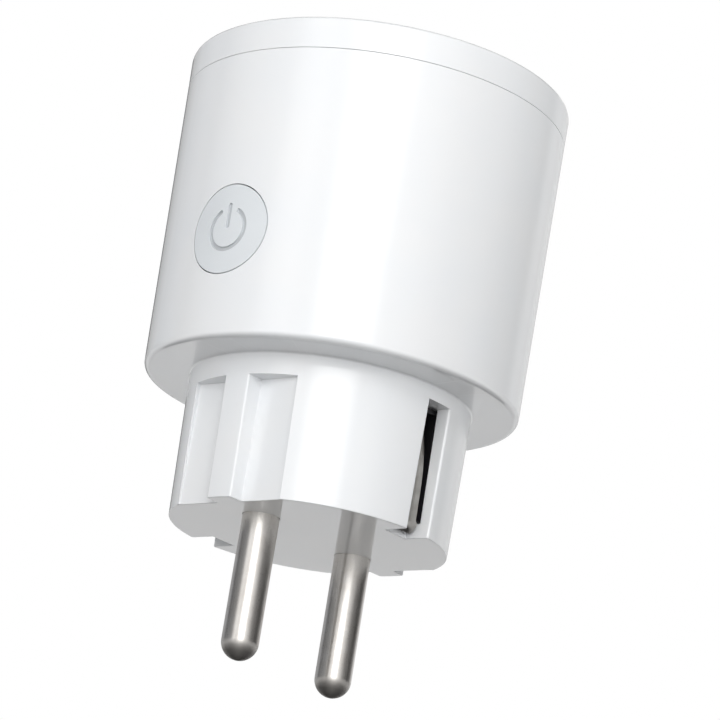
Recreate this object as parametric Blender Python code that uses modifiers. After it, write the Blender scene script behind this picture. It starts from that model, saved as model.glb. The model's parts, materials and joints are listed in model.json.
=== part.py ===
"""A smart plug: a round wall plug with a recessed earthed socket, a power button and its electronics.

The frame is in metres. The origin is the centre of the plug insert's end face, which meets the wall
socket. +Z runs from the pins to the socket face, -Y is the side of the power button, and the earth
contacts lie on +X and -X.
"""

import math

import bmesh
import bpy
from mathutils import Matrix, Vector

# Driving dimensions -------------------------------------------------------------------------------
PIN_SPACING = 0.019
PIN_RADIUS = 0.0024
PIN_LENGTH = 0.0188

TOP_Z = 0.062
SEAM_Z = 0.0577
UNDERSIDE_Z = 0.019
BODY_TOP_RADIUS = 0.0255
BODY_BOTTOM_RADIUS = 0.0247
BODY_EDGE = 0.0008
ROOT_EDGE = 0.00025
END_EDGE = 0.0002
WALL = 0.0019

INSERT_END_RADIUS = 0.01815
INSERT_ROOT_RADIUS = 0.0186
INSERT_CAVITY_RADIUS = 0.0138
INSERT_END_WALL = 0.003
HOUSING_FLOOR_Z = 0.0208

GUIDE_RIB_HALF = 0.002
GROOVE_HALF = 0.00835
GROOVE_FLOOR_Y = 0.0159
GROOVE_TOP_Z = 0.0161

RETAINER_BOSS_RADIUS = 0.0026
RETAINER_BOSS_TOP_Z = 0.0046
RETAINER_SCREW_HOLE = 0.0013

EARTH_RECESS_HALF = 0.0021
EARTH_RECESS_X = 0.01635
EARTH_RECESS_TOP_Z = 0.0171
EARTH_NOTCH_X = 0.0144
EARTH_NOTCH_TOP_Z = 0.002
EARTH_SLOT_HALF = 0.0033
EARTH_SLOT_TOP_Z = 0.0173

SOCKET_RADIUS = 0.0196
SOCKET_DEPTH = 0.0175
SOCKET_FLOOR = 0.0019
SOCKET_CUP_RADIUS = 0.0214
SOCKET_RIB_TOP_Z = 0.06
PIN_HOLE_RADIUS = 0.003
CARRIER_SCREW_X = 0.011
SCREW_HOLE_RADIUS = 0.00125

BUTTON_Z = 0.0334
BUTTON_HOLE_RADIUS = 0.0061
BUTTON_RADIUS = 0.00585
BUTTON_STEM_END_Y = -0.0216

GAP = 0.0003
JOIN = 0.0005  # how far a piece that is joined or cut reaches past the face it meets
BELOW_Z = -0.001  # where cutters that open the end face start

BODY_STEPS = 64
FINE_STEPS = 48
ROUND_STEPS = 24
SMALL_STEPS = 12

PIN_Y = PIN_SPACING / 2
SOCKET_FLOOR_Z = TOP_Z - SOCKET_DEPTH
COVER_UNDER_Z = SOCKET_FLOOR_Z - SOCKET_FLOOR
HOUSING_RIM_Z = SEAM_Z - GAP / 2
COVER_RING_Z = SEAM_Z + GAP / 2

# Relay, which stands beside the socket contacts on the +X side
RELAY_LOW = Vector((0.0058, -0.0095, 0.0223))
RELAY_HIGH = Vector((0.0175, 0.0095, 0.0368))
RELAY_BASE_HEIGHT = 0.0014
RELAY_CASE_WALL = 0.0008
RELAY_X = (RELAY_LOW.x + RELAY_HIGH.x) / 2
COIL_Y = 0.0026
ARMATURE_AXIS_Y = 0.008
ARMATURE_Z = 0.034

# Main board, which stands on edge on the -X side; its parts are on the outer face
MAIN_BOARD_X = -0.0076
MAIN_BOARD_THICKNESS = 0.0016
PARTS_X = MAIN_BOARD_X - GAP
BOARD_Z = 0.0223

# Control board behind the power button
CONTROL_BOARD_Y = -0.0164
CONTROL_BOARD_THICKNESS = 0.0012

parts_collection = None
cutters_collection = None


# Scene and materials ------------------------------------------------------------------------------
def clear_scene():
    for obj in list(bpy.data.objects):
        bpy.data.objects.remove(obj)


def new_collection(name):
    collection = bpy.data.collections.new(name)
    bpy.context.scene.collection.children.link(collection)
    return collection


def make_material(name, colour, roughness, metallic=0.0):
    material = bpy.data.materials.new(name)
    material.use_nodes = True
    shader = material.node_tree.nodes["Principled BSDF"]
    shader.inputs["Base Color"].default_value = (*colour, 1.0)
    shader.inputs["Roughness"].default_value = roughness
    shader.inputs["Metallic"].default_value = metallic
    return material


def make_materials():
    return {
        "white_shell": make_material("white_shell", (0.88, 0.88, 0.89), 0.16),
        "button_plastic": make_material("button_plastic", (0.72, 0.74, 0.77), 0.3),
        "nickel": make_material("nickel", (0.56, 0.54, 0.52), 0.28, 1.0),
        "spring_bronze": make_material("spring_bronze", (0.5, 0.47, 0.43), 0.35, 1.0),
        "copper": make_material("copper", (0.72, 0.36, 0.2), 0.35, 1.0),
        "iron": make_material("iron", (0.35, 0.35, 0.36), 0.45, 1.0),
        "spring_steel": make_material("spring_steel", (0.5, 0.5, 0.52), 0.3, 1.0),
        "board_green": make_material("board_green", (0.03, 0.16, 0.07), 0.45),
        "black_epoxy": make_material("black_epoxy", (0.02, 0.02, 0.02), 0.5),
        "black_resin": make_material("black_resin", (0.03, 0.03, 0.03), 0.4),
        "carrier_plastic": make_material("carrier_plastic", (0.62, 0.6, 0.54), 0.5),
        "can_sleeve": make_material("can_sleeve", (0.03, 0.05, 0.12), 0.35),
        "resistor_coating": make_material("resistor_coating", (0.2, 0.42, 0.5), 0.5),
        "varistor_coating": make_material("varistor_coating", (0.1, 0.25, 0.55), 0.45),
        "led_lens": make_material("led_lens", (0.85, 0.85, 0.8), 0.2),
    }


# Shapes -------------------------------------------------------------------------------------------
def object_from(name, mesh_source):
    """A new object in the parts collection from a bmesh, which is freed."""
    mesh = bpy.data.meshes.new(name)
    mesh_source.to_mesh(mesh)
    mesh_source.free()
    obj = bpy.data.objects.new(name, mesh)
    parts_collection.objects.link(obj)
    return obj


def box(name, low, high, bevel=0.0):
    low, high = Vector(low), Vector(high)
    shape = bmesh.new()
    bmesh.ops.create_cube(shape, size=1.0)
    bmesh.ops.scale(shape, vec=high - low, verts=shape.verts)
    bmesh.ops.translate(shape, vec=(low + high) / 2, verts=shape.verts)
    obj = object_from(name, shape)
    if bevel:
        rounding = obj.modifiers.new("edges", "BEVEL")
        rounding.width = bevel
        rounding.segments = 1
    return obj


def cylinder(name, radius, start, end, steps=ROUND_STEPS, end_radius=None):
    """A closed cylinder, or a cone, between two points."""
    start, end = Vector(start), Vector(end)
    shape = bmesh.new()
    bmesh.ops.create_cone(
        shape,
        cap_ends=True,
        segments=steps,
        radius1=radius,
        radius2=radius if end_radius is None else end_radius,
        depth=(end - start).length,
    )
    turn = (end - start).to_track_quat("Z", "Y").to_matrix().to_4x4()
    bmesh.ops.transform(shape, matrix=Matrix.Translation((start + end) / 2) @ turn, verts=shape.verts)
    return object_from(name, shape)


def turned(name, profile, steps=BODY_STEPS, centre=(0.0, 0.0)):
    """A profile of (radius, z) points, turned about a vertical axis. The profile starts and ends on
    the axis, or it closes on itself, and runs down its outer side."""
    shape = bmesh.new()
    corners = [shape.verts.new((radius, 0.0, z)) for radius, z in profile]
    for first, second in zip(corners, corners[1:]):
        shape.edges.new((first, second))
    if profile[0][0] > 0.0:
        shape.edges.new((corners[-1], corners[0]))
    obj = object_from(name, shape)
    obj.location = (centre[0], centre[1], 0.0)
    screw = obj.modifiers.new("turn", "SCREW")
    screw.steps = steps
    screw.render_steps = steps
    screw.use_merge_vertices = True
    screw.merge_threshold = 1e-5
    screw.use_smooth_shade = False
    return obj


def ring_profile(inner, outer, low, high):
    return [(inner, low), (inner, high), (outer, high), (outer, low)]


def strip(name, path, half_widths, thickness, y=0.0):
    """A bent metal strip: (x, z) points of its middle, with its width along Y."""
    shape = bmesh.new()
    rows = []
    for (x, z), half in zip(path, half_widths):
        rows.append([shape.verts.new((x, y + side * half, z)) for side in (-1, 1)])
    for row, following in zip(rows, rows[1:]):
        shape.faces.new((row[0], row[1], following[1], following[0]))
    obj = object_from(name, shape)
    solid = obj.modifiers.new("thickness", "SOLIDIFY")
    solid.thickness = thickness
    solid.offset = 0.0
    solid.use_even_offset = True
    return obj


def coil_spring(name, centre, radius, wire_radius, low, high, turns):
    points_per_turn = 12
    count = turns * points_per_turn
    curve = bpy.data.curves.new(name, "CURVE")
    curve.dimensions = "3D"
    curve.bevel_depth = wire_radius
    curve.bevel_resolution = 2
    curve.use_fill_caps = True
    spline = curve.splines.new("POLY")
    spline.points.add(count)
    for i, point in enumerate(spline.points):
        angle = 2 * math.pi * i / points_per_turn
        z = low + (high - low) * i / count
        point.co = (
            centre[0] + radius * math.cos(angle),
            centre[1] + radius * math.sin(angle),
            z,
            1.0,
        )
    obj = bpy.data.objects.new(name, curve)
    parts_collection.objects.link(obj)
    return obj


# Joining and cutting ------------------------------------------------------------------------------
def hide_helper(helper):
    parts_collection.objects.unlink(helper)
    cutters_collection.objects.link(helper)
    helper.hide_render = True
    helper.display_type = "WIRE"


def combine(obj, helpers, operation):
    for helper in helpers:
        step = obj.modifiers.new(helper.name, "BOOLEAN")
        step.operation = operation
        step.object = helper
        hide_helper(helper)


def cut(obj, *helpers):
    combine(obj, helpers, "DIFFERENCE")


def join(obj, *helpers):
    combine(obj, helpers, "UNION")


def keep_inside(obj, helper):
    combine(obj, [helper], "INTERSECT")


def put_origin(obj, point):
    """Moves a mesh object's origin to the point and leaves its shape where it is."""
    obj.data.transform(Matrix.Translation(-Vector(point)))
    obj.location = point


def dress(obj, material):
    obj.data.materials.append(material)
    if obj.type == "MESH":
        obj.data.shade_smooth()
        obj.data.set_sharp_from_angle(angle=math.radians(30))
    return obj


def arc(centre, radius, start_degrees, end_degrees, count):
    """Points (r, z) on an arc, both ends included."""
    points = []
    for i in range(count + 1):
        angle = math.radians(start_degrees + (end_degrees - start_degrees) * i / count)
        points.append((centre[0] + radius * math.cos(angle), centre[1] + radius * math.sin(angle)))
    return points


def body_radius(z):
    """The outer radius of the slightly tapered body at a height."""
    share = (z - UNDERSIDE_Z) / (TOP_Z - UNDERSIDE_Z)
    return BODY_BOTTOM_RADIUS + share * (BODY_TOP_RADIUS - BODY_BOTTOM_RADIUS)


# Shells -------------------------------------------------------------------------------------------
def housing_profile():
    floor_radius = body_radius(HOUSING_FLOOR_Z) - WALL
    rim_radius = body_radius(HOUSING_RIM_Z)
    edge = BODY_EDGE
    inner = [
        (0.0, INSERT_END_WALL),
        (INSERT_CAVITY_RADIUS, INSERT_END_WALL),
        (INSERT_CAVITY_RADIUS, HOUSING_FLOOR_Z),
        (floor_radius, HOUSING_FLOOR_Z),
        (rim_radius - WALL, HOUSING_RIM_Z),
        (rim_radius, HOUSING_RIM_Z),
    ]
    bottom_edge = arc((BODY_BOTTOM_RADIUS - edge, UNDERSIDE_Z + edge), edge, 0, -90, 3)
    root = arc((INSERT_ROOT_RADIUS + ROOT_EDGE, UNDERSIDE_Z - ROOT_EDGE), ROOT_EDGE, 90, 180, 3)
    end = [
        (INSERT_END_RADIUS, END_EDGE),
        (INSERT_END_RADIUS - END_EDGE, 0.0),
        (0.0, 0.0),
    ]
    return inner + bottom_edge + root + end


def guide_groove_cutters(prefix, floor_y, outer_y, low_z, high_z, inner_x, outer_x):
    """Four boxes, one on each side of the two guide ribs."""
    cutters = []
    for side_y in (-1, 1):
        for side_x in (-1, 1):
            xs = sorted((side_x * inner_x, side_x * outer_x))
            ys = sorted((side_y * floor_y, side_y * outer_y))
            name = f"{prefix}_{len(cutters)}"
            cutters.append(box(name, (xs[0], ys[0], low_z), (xs[1], ys[1], high_z)))
    return cutters


def earth_opening_cutters():
    """The recess in the insert's side, the notch in its end and the slot to the inside."""
    outer_x = INSERT_ROOT_RADIUS + 0.001
    slot_x = INSERT_CAVITY_RADIUS - 0.0018
    tiny = 0.0001  # keeps cutter faces apart
    notch_half = EARTH_RECESS_HALF - tiny / 5
    cutters = []
    for side in (-1, 1):
        for label, x_from, x_to, half_y, z_from, z_to in (
            ("recess", EARTH_RECESS_X, outer_x, EARTH_RECESS_HALF, BELOW_Z, EARTH_RECESS_TOP_Z),
            ("notch", EARTH_NOTCH_X, outer_x, notch_half, BELOW_Z, EARTH_NOTCH_TOP_Z),
            (
                "slot",
                slot_x,
                EARTH_RECESS_X + tiny,
                EARTH_SLOT_HALF,
                EARTH_NOTCH_TOP_Z - tiny,
                EARTH_SLOT_TOP_Z,
            ),
        ):
            xs = sorted((side * x_from, side * x_to))
            name = f"earth_{label}_cutter_{'left' if side < 0 else 'right'}"
            cutters.append(box(name, (xs[0], -half_y, z_from), (xs[1], half_y, z_to)))
    return cutters


def build_housing(materials):
    housing = turned("main_housing", housing_profile())
    screw_boss = cylinder(
        "retainer_boss", RETAINER_BOSS_RADIUS, (0, 0, INSERT_END_WALL - JOIN), (0, 0, RETAINER_BOSS_TOP_Z)
    )
    join(housing, screw_boss)
    pilot_low_z = INSERT_END_WALL - 0.0012
    pilot_high_z = RETAINER_BOSS_TOP_Z + 0.0014
    pilot = cylinder(
        "retainer_pilot", RETAINER_SCREW_HOLE, (0, 0, pilot_low_z), (0, 0, pilot_high_z), SMALL_STEPS
    )
    cut(housing, pilot)
    outer_y = INSERT_ROOT_RADIUS + 0.0019
    grooves = guide_groove_cutters(
        "groove_cutter", GROOVE_FLOOR_Y, outer_y, BELOW_Z, GROOVE_TOP_Z, GUIDE_RIB_HALF, GROOVE_HALF
    )
    cut(housing, *grooves)
    cut(housing, *earth_opening_cutters())
    hole_radius = PIN_RADIUS + GAP / 2
    for name, side in (("line_pin_hole", -1), ("neutral_pin_hole", 1)):
        y = side * PIN_Y
        cut(housing, cylinder(name, hole_radius, (0, y, BELOW_Z), (0, y, INSERT_END_WALL + JOIN)))
    hole_from_y, hole_to_y = -0.021, -0.027
    button_hole = cylinder(
        "button_hole", BUTTON_HOLE_RADIUS, (0, hole_from_y, BUTTON_Z), (0, hole_to_y, BUTTON_Z), FINE_STEPS
    )
    cut(housing, button_hole)
    dress(housing, materials["white_shell"])


def cover_profile():
    rim_edge = 0.0005
    mouth_edge = 0.0006
    skirt_outer = body_radius(SEAM_Z) - WALL - 0.00025
    skirt_thickness = 0.0009
    skirt_low_z = 0.0535
    trough_z = 0.0588
    return [
        (0.0, SOCKET_FLOOR_Z),
        (SOCKET_RADIUS, SOCKET_FLOOR_Z),
        (SOCKET_RADIUS + 0.0002, TOP_Z - mouth_edge),
        (SOCKET_RADIUS + 0.0002 + mouth_edge, TOP_Z),
        (BODY_TOP_RADIUS - rim_edge, TOP_Z),
        (BODY_TOP_RADIUS, TOP_Z - rim_edge),
        (body_radius(COVER_RING_Z), COVER_RING_Z),
        (skirt_outer, COVER_RING_Z),
        (skirt_outer, skirt_low_z),
        (skirt_outer - skirt_thickness, skirt_low_z),
        (skirt_outer - skirt_thickness, trough_z),
        (SOCKET_CUP_RADIUS, trough_z),
        (SOCKET_CUP_RADIUS, COVER_UNDER_Z),
        (0.0, COVER_UNDER_Z),
    ]


def build_cover(materials):
    cover = turned("front_cover", cover_profile())
    rib_inner_y, rib_outer_y = 0.0163, 0.0199
    rib_from_x, rib_to_x = 0.0025, 0.0074
    rib_low_z = SOCKET_FLOOR_Z - JOIN
    guide_ribs = guide_groove_cutters(
        "socket_guide_rib", rib_inner_y, rib_outer_y, rib_low_z, SOCKET_RIB_TOP_Z, rib_from_x, rib_to_x
    )
    join(cover, *guide_ribs)
    boss_radius, boss_low_z = 0.0024, 0.0407
    pilot_low_z, pilot_high_z = 0.04, 0.0436
    pocket_low = Vector((0.0174, -0.0027, 0.041))
    pocket_high = Vector((0.0206, 0.0027, 0.0605))
    for name, side in (("left", -1), ("right", 1)):
        x = side * CARRIER_SCREW_X
        boss_ends = ((x, 0, boss_low_z), (x, 0, COVER_UNDER_Z + JOIN))
        join(cover, cylinder(f"screw_boss_{name}", boss_radius, *boss_ends))
        pilot_ends = ((x, 0, pilot_low_z), (x, 0, pilot_high_z))
        cut(cover, cylinder(f"screw_pilot_{name}", SCREW_HOLE_RADIUS, *pilot_ends, SMALL_STEPS))
        xs = sorted((side * pocket_low.x, side * pocket_high.x))
        pocket = box(
            f"earth_clip_pocket_{name}",
            (xs[0], pocket_low.y, pocket_low.z),
            (xs[1], pocket_high.y, pocket_high.z),
        )
        cut(cover, pocket)
    hole_low_z, hole_high_z = 0.041, 0.046
    lead_in_depth, lead_in_above = 0.0008, 0.0002
    for name, side in (("line", -1), ("neutral", 1)):
        y = side * PIN_Y
        hole = cylinder(f"{name}_socket_hole", PIN_HOLE_RADIUS, (0, y, hole_low_z), (0, y, hole_high_z))
        lead_in = cylinder(
            f"{name}_socket_lead_in",
            PIN_HOLE_RADIUS,
            (0, y, SOCKET_FLOOR_Z - lead_in_depth),
            (0, y, SOCKET_FLOOR_Z + lead_in_above),
            end_radius=PIN_HOLE_RADIUS + lead_in_depth + lead_in_above,
        )
        cut(cover, hole, lead_in)
    dress(cover, materials["white_shell"])


# Power button, its switch and the control board ---------------------------------------------------
def build_button(materials):
    flange_radius = 0.0069
    flange_front_y, flange_back_y = -0.0214, -0.0206
    skirt_inner = 0.0049
    hollow_from_y = -0.02
    back_of_cap_y = -0.0234
    past_body_y = -0.0265
    stem_radius = 0.0014
    button = cylinder(
        "power_button", BUTTON_RADIUS, (0, flange_back_y, BUTTON_Z), (0, past_body_y, BUTTON_Z), FINE_STEPS
    )
    envelope_profile = [
        (0.0, TOP_Z),
        (body_radius(TOP_Z), TOP_Z),
        (body_radius(UNDERSIDE_Z), UNDERSIDE_Z),
        (0.0, UNDERSIDE_Z),
    ]
    keep_inside(button, turned("body_envelope", envelope_profile))
    flange_ends = ((0, flange_back_y, BUTTON_Z), (0, flange_front_y, BUTTON_Z))
    join(button, cylinder("button_flange", flange_radius, *flange_ends, FINE_STEPS))
    hollow_ends = ((0, hollow_from_y, BUTTON_Z), (0, back_of_cap_y, BUTTON_Z))
    cut(button, cylinder("button_hollow", skirt_inner, *hollow_ends))
    stem_ends = ((0, BUTTON_STEM_END_Y, BUTTON_Z), (0, back_of_cap_y - JOIN, BUTTON_Z))
    join(button, cylinder("button_stem", stem_radius, *stem_ends, 16))
    put_origin(button, (0.0, 0.0, BUTTON_Z))
    dress(button, materials["button_plastic"])


def build_control_board(materials):
    board_half, board_top_z = 0.01, 0.0402
    front_y = CONTROL_BOARD_Y
    back_y = front_y + CONTROL_BOARD_THICKNESS
    board = box("control_board", (-board_half, front_y, BOARD_Z), (board_half, back_y, board_top_z))
    dress(board, materials["board_green"])

    parts_y = front_y - GAP
    switch_half, switch_height = 0.003, 0.0035
    plunger_radius, plunger_sunk, hole_depth = 0.0017, 0.0007, 0.0014
    body_end_y = parts_y - switch_height
    switch = box(
        "tact_switch_body",
        (-switch_half, body_end_y, BUTTON_Z - switch_half),
        (switch_half, parts_y, BUTTON_Z + switch_half),
        bevel=0.0002,
    )
    hole_ends = ((0, body_end_y - JOIN, BUTTON_Z), (0, body_end_y + hole_depth, BUTTON_Z))
    cut(switch, cylinder("plunger_hole", plunger_radius + GAP, *hole_ends, 16))
    dress(switch, materials["black_resin"])
    plunger_ends = ((0, BUTTON_STEM_END_Y + GAP, BUTTON_Z), (0, body_end_y + plunger_sunk, BUTTON_Z))
    plunger = cylinder("tact_switch_plunger", plunger_radius, *plunger_ends, 16)
    put_origin(plunger, (0.0, body_end_y, BUTTON_Z))
    dress(plunger, materials["black_resin"])

    led_z = BUTTON_Z + 0.0042
    led_width, led_height, led_depth = 0.0016, 0.0008, 0.0008
    led = box(
        "status_led",
        (-led_width / 2, parts_y - led_depth, led_z - led_height / 2),
        (led_width / 2, parts_y, led_z + led_height / 2),
    )
    dress(led, materials["led_lens"])
    shield_half, shield_depth = 0.0065, 0.0022
    shield_low_z, shield_high_z = 0.0228, 0.0294
    shield = box(
        "radio_shield",
        (-shield_half, parts_y - shield_depth, shield_low_z),
        (shield_half, parts_y, shield_high_z),
        bevel=0.0003,
    )
    dress(shield, materials["nickel"])


# Main board ---------------------------------------------------------------------------------------
def build_main_board(materials):
    board = box(
        "main_board",
        (MAIN_BOARD_X, -0.0143, BOARD_Z),
        (MAIN_BOARD_X + MAIN_BOARD_THICKNESS, 0.0186, 0.0383),
    )
    dress(board, materials["board_green"])


def board_can(name, y, z, radius, length, material):
    """An electrolytic capacitor that stands on the board, with its crimped groove."""
    groove = 0.0004
    profile_x = [
        (0.0, 0.0),
        (radius - groove, 0.0),
        (radius, groove),
        (radius, 0.0012),
        (radius - groove, 0.0017),
        (radius, 0.0022),
        (radius, length - groove),
        (radius - groove, length),
        (0.0, length),
    ]
    can = turned(name, [(r, -x) for r, x in profile_x], ROUND_STEPS)
    can.rotation_euler = (0.0, math.radians(90), 0.0)
    can.location = (PARTS_X, y, z)
    dress(can, material)


def build_board_parts(materials):
    board_can("bulk_capacitor", 0.0082, 0.0272, 0.004, 0.0101, materials["can_sleeve"])
    board_can("output_capacitor", 0.0086, 0.0350, 0.00315, 0.007, materials["can_sleeve"])

    inductor = turned(
        "filter_inductor",
        [
            (0.0, 0.0),
            (0.003, 0.0),
            (0.003, -0.001),
            (0.0025, -0.0013),
            (0.0025, -0.0057),
            (0.003, -0.006),
            (0.003, -0.007),
            (0.0, -0.007),
        ],
        ROUND_STEPS,
    )
    inductor.rotation_euler = (0.0, math.radians(90), 0.0)
    inductor.location = (PARTS_X, 0.0006, 0.027)
    dress(inductor, materials["black_resin"])

    resistor_x, resistor_y = -0.0105, -0.0052
    resistor = cylinder(
        "fusible_resistor", 0.0017, (resistor_x, resistor_y, 0.0245), (resistor_x, resistor_y, 0.0315), 16
    )
    lead = 0.00035
    for name, end_z, lead_z in (("low", 0.0235, 0.0235), ("high", 0.0325, 0.0325)):
        near, far = sorted((end_z, 0.028))
        rise = box(
            f"resistor_lead_{name}",
            (resistor_x - lead, resistor_y - lead, near),
            (resistor_x + lead, resistor_y + lead, far),
        )
        foot = box(
            f"resistor_foot_{name}",
            (resistor_x, resistor_y - 0.0003, lead_z - 0.0003),
            (PARTS_X, resistor_y + 0.0003, lead_z + 0.0003),
        )
        join(resistor, rise, foot)
    dress(resistor, materials["resistor_coating"])

    varistor = cylinder(
        "varistor", 0.0035, (PARTS_X, 0.0156, 0.0353), (PARTS_X - 0.0034, 0.0156, 0.0353), ROUND_STEPS
    )
    rounding = varistor.modifiers.new("edges", "BEVEL")
    rounding.width = 0.0008
    rounding.segments = 2
    rounding.limit_method = "ANGLE"
    dress(varistor, materials["varistor_coating"])

    for name, height, y_from, y_to, z_from, z_to in (
        ("bridge_rectifier", 0.0023, -0.0126, -0.0079, 0.0240, 0.0302),
        ("metering_chip", 0.0016, -0.0031, 0.0019, 0.0320, 0.0360),
        ("voltage_regulator", 0.0015, -0.0086, -0.0050, 0.0340, 0.0372),
    ):
        chip = box(name, (PARTS_X - height, y_from, z_from), (PARTS_X, y_to, z_to), bevel=0.0003)
        dress(chip, materials["black_epoxy"])

    shunt_x = PARTS_X - 0.0022
    shunt = strip(
        "shunt_strip",
        [(PARTS_X, 0.0320), (shunt_x, 0.0322), (shunt_x, 0.0358), (PARTS_X, 0.0360)],
        [0.0012] * 4,
        0.0005,
        y=-0.0115,
    )
    dress(shunt, materials["copper"])


# Relay --------------------------------------------------------------------------------------------
def build_relay_shell(materials):
    base = box(
        "relay_base",
        RELAY_LOW,
        (RELAY_HIGH.x, RELAY_HIGH.y, RELAY_LOW.z + RELAY_BASE_HEIGHT),
        bevel=0.0002,
    )
    dress(base, materials["black_resin"])
    case_low = Vector((RELAY_LOW.x, RELAY_LOW.y, RELAY_LOW.z + RELAY_BASE_HEIGHT + GAP))
    case = box("relay_case", case_low, RELAY_HIGH, bevel=0.0004)
    wall = Vector((RELAY_CASE_WALL, RELAY_CASE_WALL, 0))
    hollow = box(
        "relay_case_hollow",
        case_low + wall - Vector((0, 0, 0.001)),
        RELAY_HIGH - wall - Vector((0, 0, RELAY_CASE_WALL)),
    )
    cut(case, hollow)
    dress(case, materials["can_sleeve"])


def build_relay_coil(materials):
    centre = (RELAY_X, COIL_Y)
    bobbin = turned(
        "relay_bobbin",
        [
            (0.00175, 0.0251),
            (0.00175, 0.0323),
            (0.0046, 0.0323),
            (0.0046, 0.0316),
            (0.0023, 0.0316),
            (0.0023, 0.0258),
            (0.0046, 0.0258),
            (0.0046, 0.0251),
        ],
        ROUND_STEPS,
        centre,
    )
    dress(bobbin, materials["carrier_plastic"])
    coil = turned("relay_coil", ring_profile(0.0026, 0.0043, 0.0261, 0.0313), ROUND_STEPS, centre)
    dress(coil, materials["copper"])
    core = turned(
        "relay_core",
        [
            (0.0, 0.0331),
            (0.0028, 0.0331),
            (0.0028, 0.0326),
            (0.00145, 0.0326),
            (0.00145, 0.0251),
            (0.0, 0.0251),
        ],
        ROUND_STEPS,
        centre,
    )
    dress(core, materials["iron"])


def build_relay_magnet(materials):
    half = 0.0032
    plate = 0.0008
    back_y = 0.0084
    yoke = box(
        "relay_yoke", (RELAY_X - half, back_y - plate, 0.0241), (RELAY_X + half, back_y, 0.0336)
    )
    foot = box(
        "yoke_foot", (RELAY_X - half, 0.0, 0.0241), (RELAY_X + half, back_y - plate / 2, 0.0248)
    )
    join(yoke, foot)
    dress(yoke, materials["iron"])

    axis = (RELAY_X, ARMATURE_AXIS_Y, ARMATURE_Z)
    armature = box(
        "relay_armature",
        (RELAY_X - half, -0.0016, ARMATURE_Z),
        (RELAY_X + half, 0.0083, ARMATURE_Z + 0.0007),
    )
    put_origin(armature, axis)
    dress(armature, materials["iron"])

    contact_y = -0.0066
    spring = box(
        "relay_contact_spring",
        (RELAY_X - 0.0015, -0.0078, ARMATURE_Z + 0.001),
        (RELAY_X + 0.0015, 0.003, ARMATURE_Z + 0.00125),
    )
    rivet = cylinder(
        "moving_rivet", 0.0012, (RELAY_X, contact_y, 0.0342), (RELAY_X, contact_y, 0.0356), SMALL_STEPS
    )
    join(spring, rivet)
    put_origin(spring, axis)
    dress(spring, materials["copper"])

    post = box(
        "relay_fixed_contact", (RELAY_X - 0.0016, -0.0082, 0.0241), (RELAY_X + 0.0016, -0.0075, 0.0319)
    )
    arm = box(
        "fixed_contact_arm", (RELAY_X - 0.0016, -0.0079, 0.0313), (RELAY_X + 0.0016, -0.0053, 0.03185)
    )
    seat = cylinder(
        "fixed_rivet", 0.0012, (RELAY_X, contact_y, 0.0316), (RELAY_X, contact_y, 0.0327), SMALL_STEPS
    )
    join(post, arm, seat)
    dress(post, materials["copper"])


# Plug pins and the line conductors ----------------------------------------------------------------
COLLAR_Z = INSERT_END_WALL + GAP
STEM_RADIUS = 0.0016
STRAP_Z = 0.0071
STRAP_THICKNESS = 0.0006
STRAP_HALF = 0.0015
STRAP_X = 0.0039
EYELET_RADIUS = 0.0031


def build_pin(name, y, materials):
    tip = [(0.0, -PIN_LENGTH)] + arc((0.0, -PIN_LENGTH + PIN_RADIUS), PIN_RADIUS, -75, 0, 5)
    stem_top_z = 0.0085
    collar_radius, collar_top_z = 0.0035, COLLAR_Z + 0.0012
    upper = [
        (0.0, stem_top_z),
        (STEM_RADIUS, stem_top_z),
        (STEM_RADIUS, collar_top_z),
        (collar_radius, collar_top_z),
        (collar_radius, COLLAR_Z),
        (PIN_RADIUS, COLLAR_Z),
    ]
    pin = turned(name, upper + tip[::-1], ROUND_STEPS, (0.0, y))
    dress(pin, materials["nickel"])


def build_retainer(materials):
    radius = INSERT_CAVITY_RADIUS - JOIN
    low, high = COLLAR_Z + 0.0015, COLLAR_Z + 0.0029
    retainer = cylinder("pin_retainer", radius, (0, 0, low), (0, 0, high), 32)
    for name, side in (("line", -1), ("neutral", 1)):
        y = side * PIN_Y
        stem_hole = cylinder(
            f"{name}_stem_hole", STEM_RADIUS + GAP, (0, y, low - JOIN), (0, y, high + JOIN), 16
        )
        cut(retainer, stem_hole)
    hole_ends = ((0, 0, low - JOIN), (0, 0, high + JOIN))
    cut(retainer, cylinder("retainer_screw_hole", RETAINER_SCREW_HOLE, *hole_ends, SMALL_STEPS))
    dress(retainer, materials["carrier_plastic"])
    seat_z = high + GAP
    head_height, head_radius, shank_length = 0.0016, 0.0022, 0.0022
    screw("retainer_screw", (0, 0), seat_z, head_height, head_radius, seat_z - shank_length, materials)


def screw(name, centre, seat_z, head_height, head_radius, tip_z, materials, head_up=True):
    """A pan-head screw on a vertical axis. Its head sits on seat_z and its shank ends at tip_z."""
    shank = 0.00095
    sign = 1 if head_up else -1
    profile = [
        (0.0, seat_z + sign * head_height),
        (head_radius * 0.8, seat_z + sign * head_height),
        (head_radius, seat_z + sign * head_height * 0.5),
        (head_radius, seat_z),
        (shank, seat_z),
        (shank, tip_z),
        (0.0, tip_z),
    ]
    fastener = turned(name, profile if head_up else profile[::-1], 16, centre)
    dress(fastener, materials["spring_steel"])


def eyelet(strap, y):
    """Gives a strap a round eyelet for a pin's stem."""
    low, high = STRAP_Z - STRAP_THICKNESS / 2, STRAP_Z + STRAP_THICKNESS / 2
    pad = cylinder(f"{strap.name}_pad", EYELET_RADIUS, (0, y, low), (0, y, high))
    hole = cylinder(
        f"{strap.name}_hole", STEM_RADIUS + GAP, (0, y, low - JOIN), (0, y, high + JOIN), 16
    )
    join(strap, pad)
    cut(strap, hole)


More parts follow.
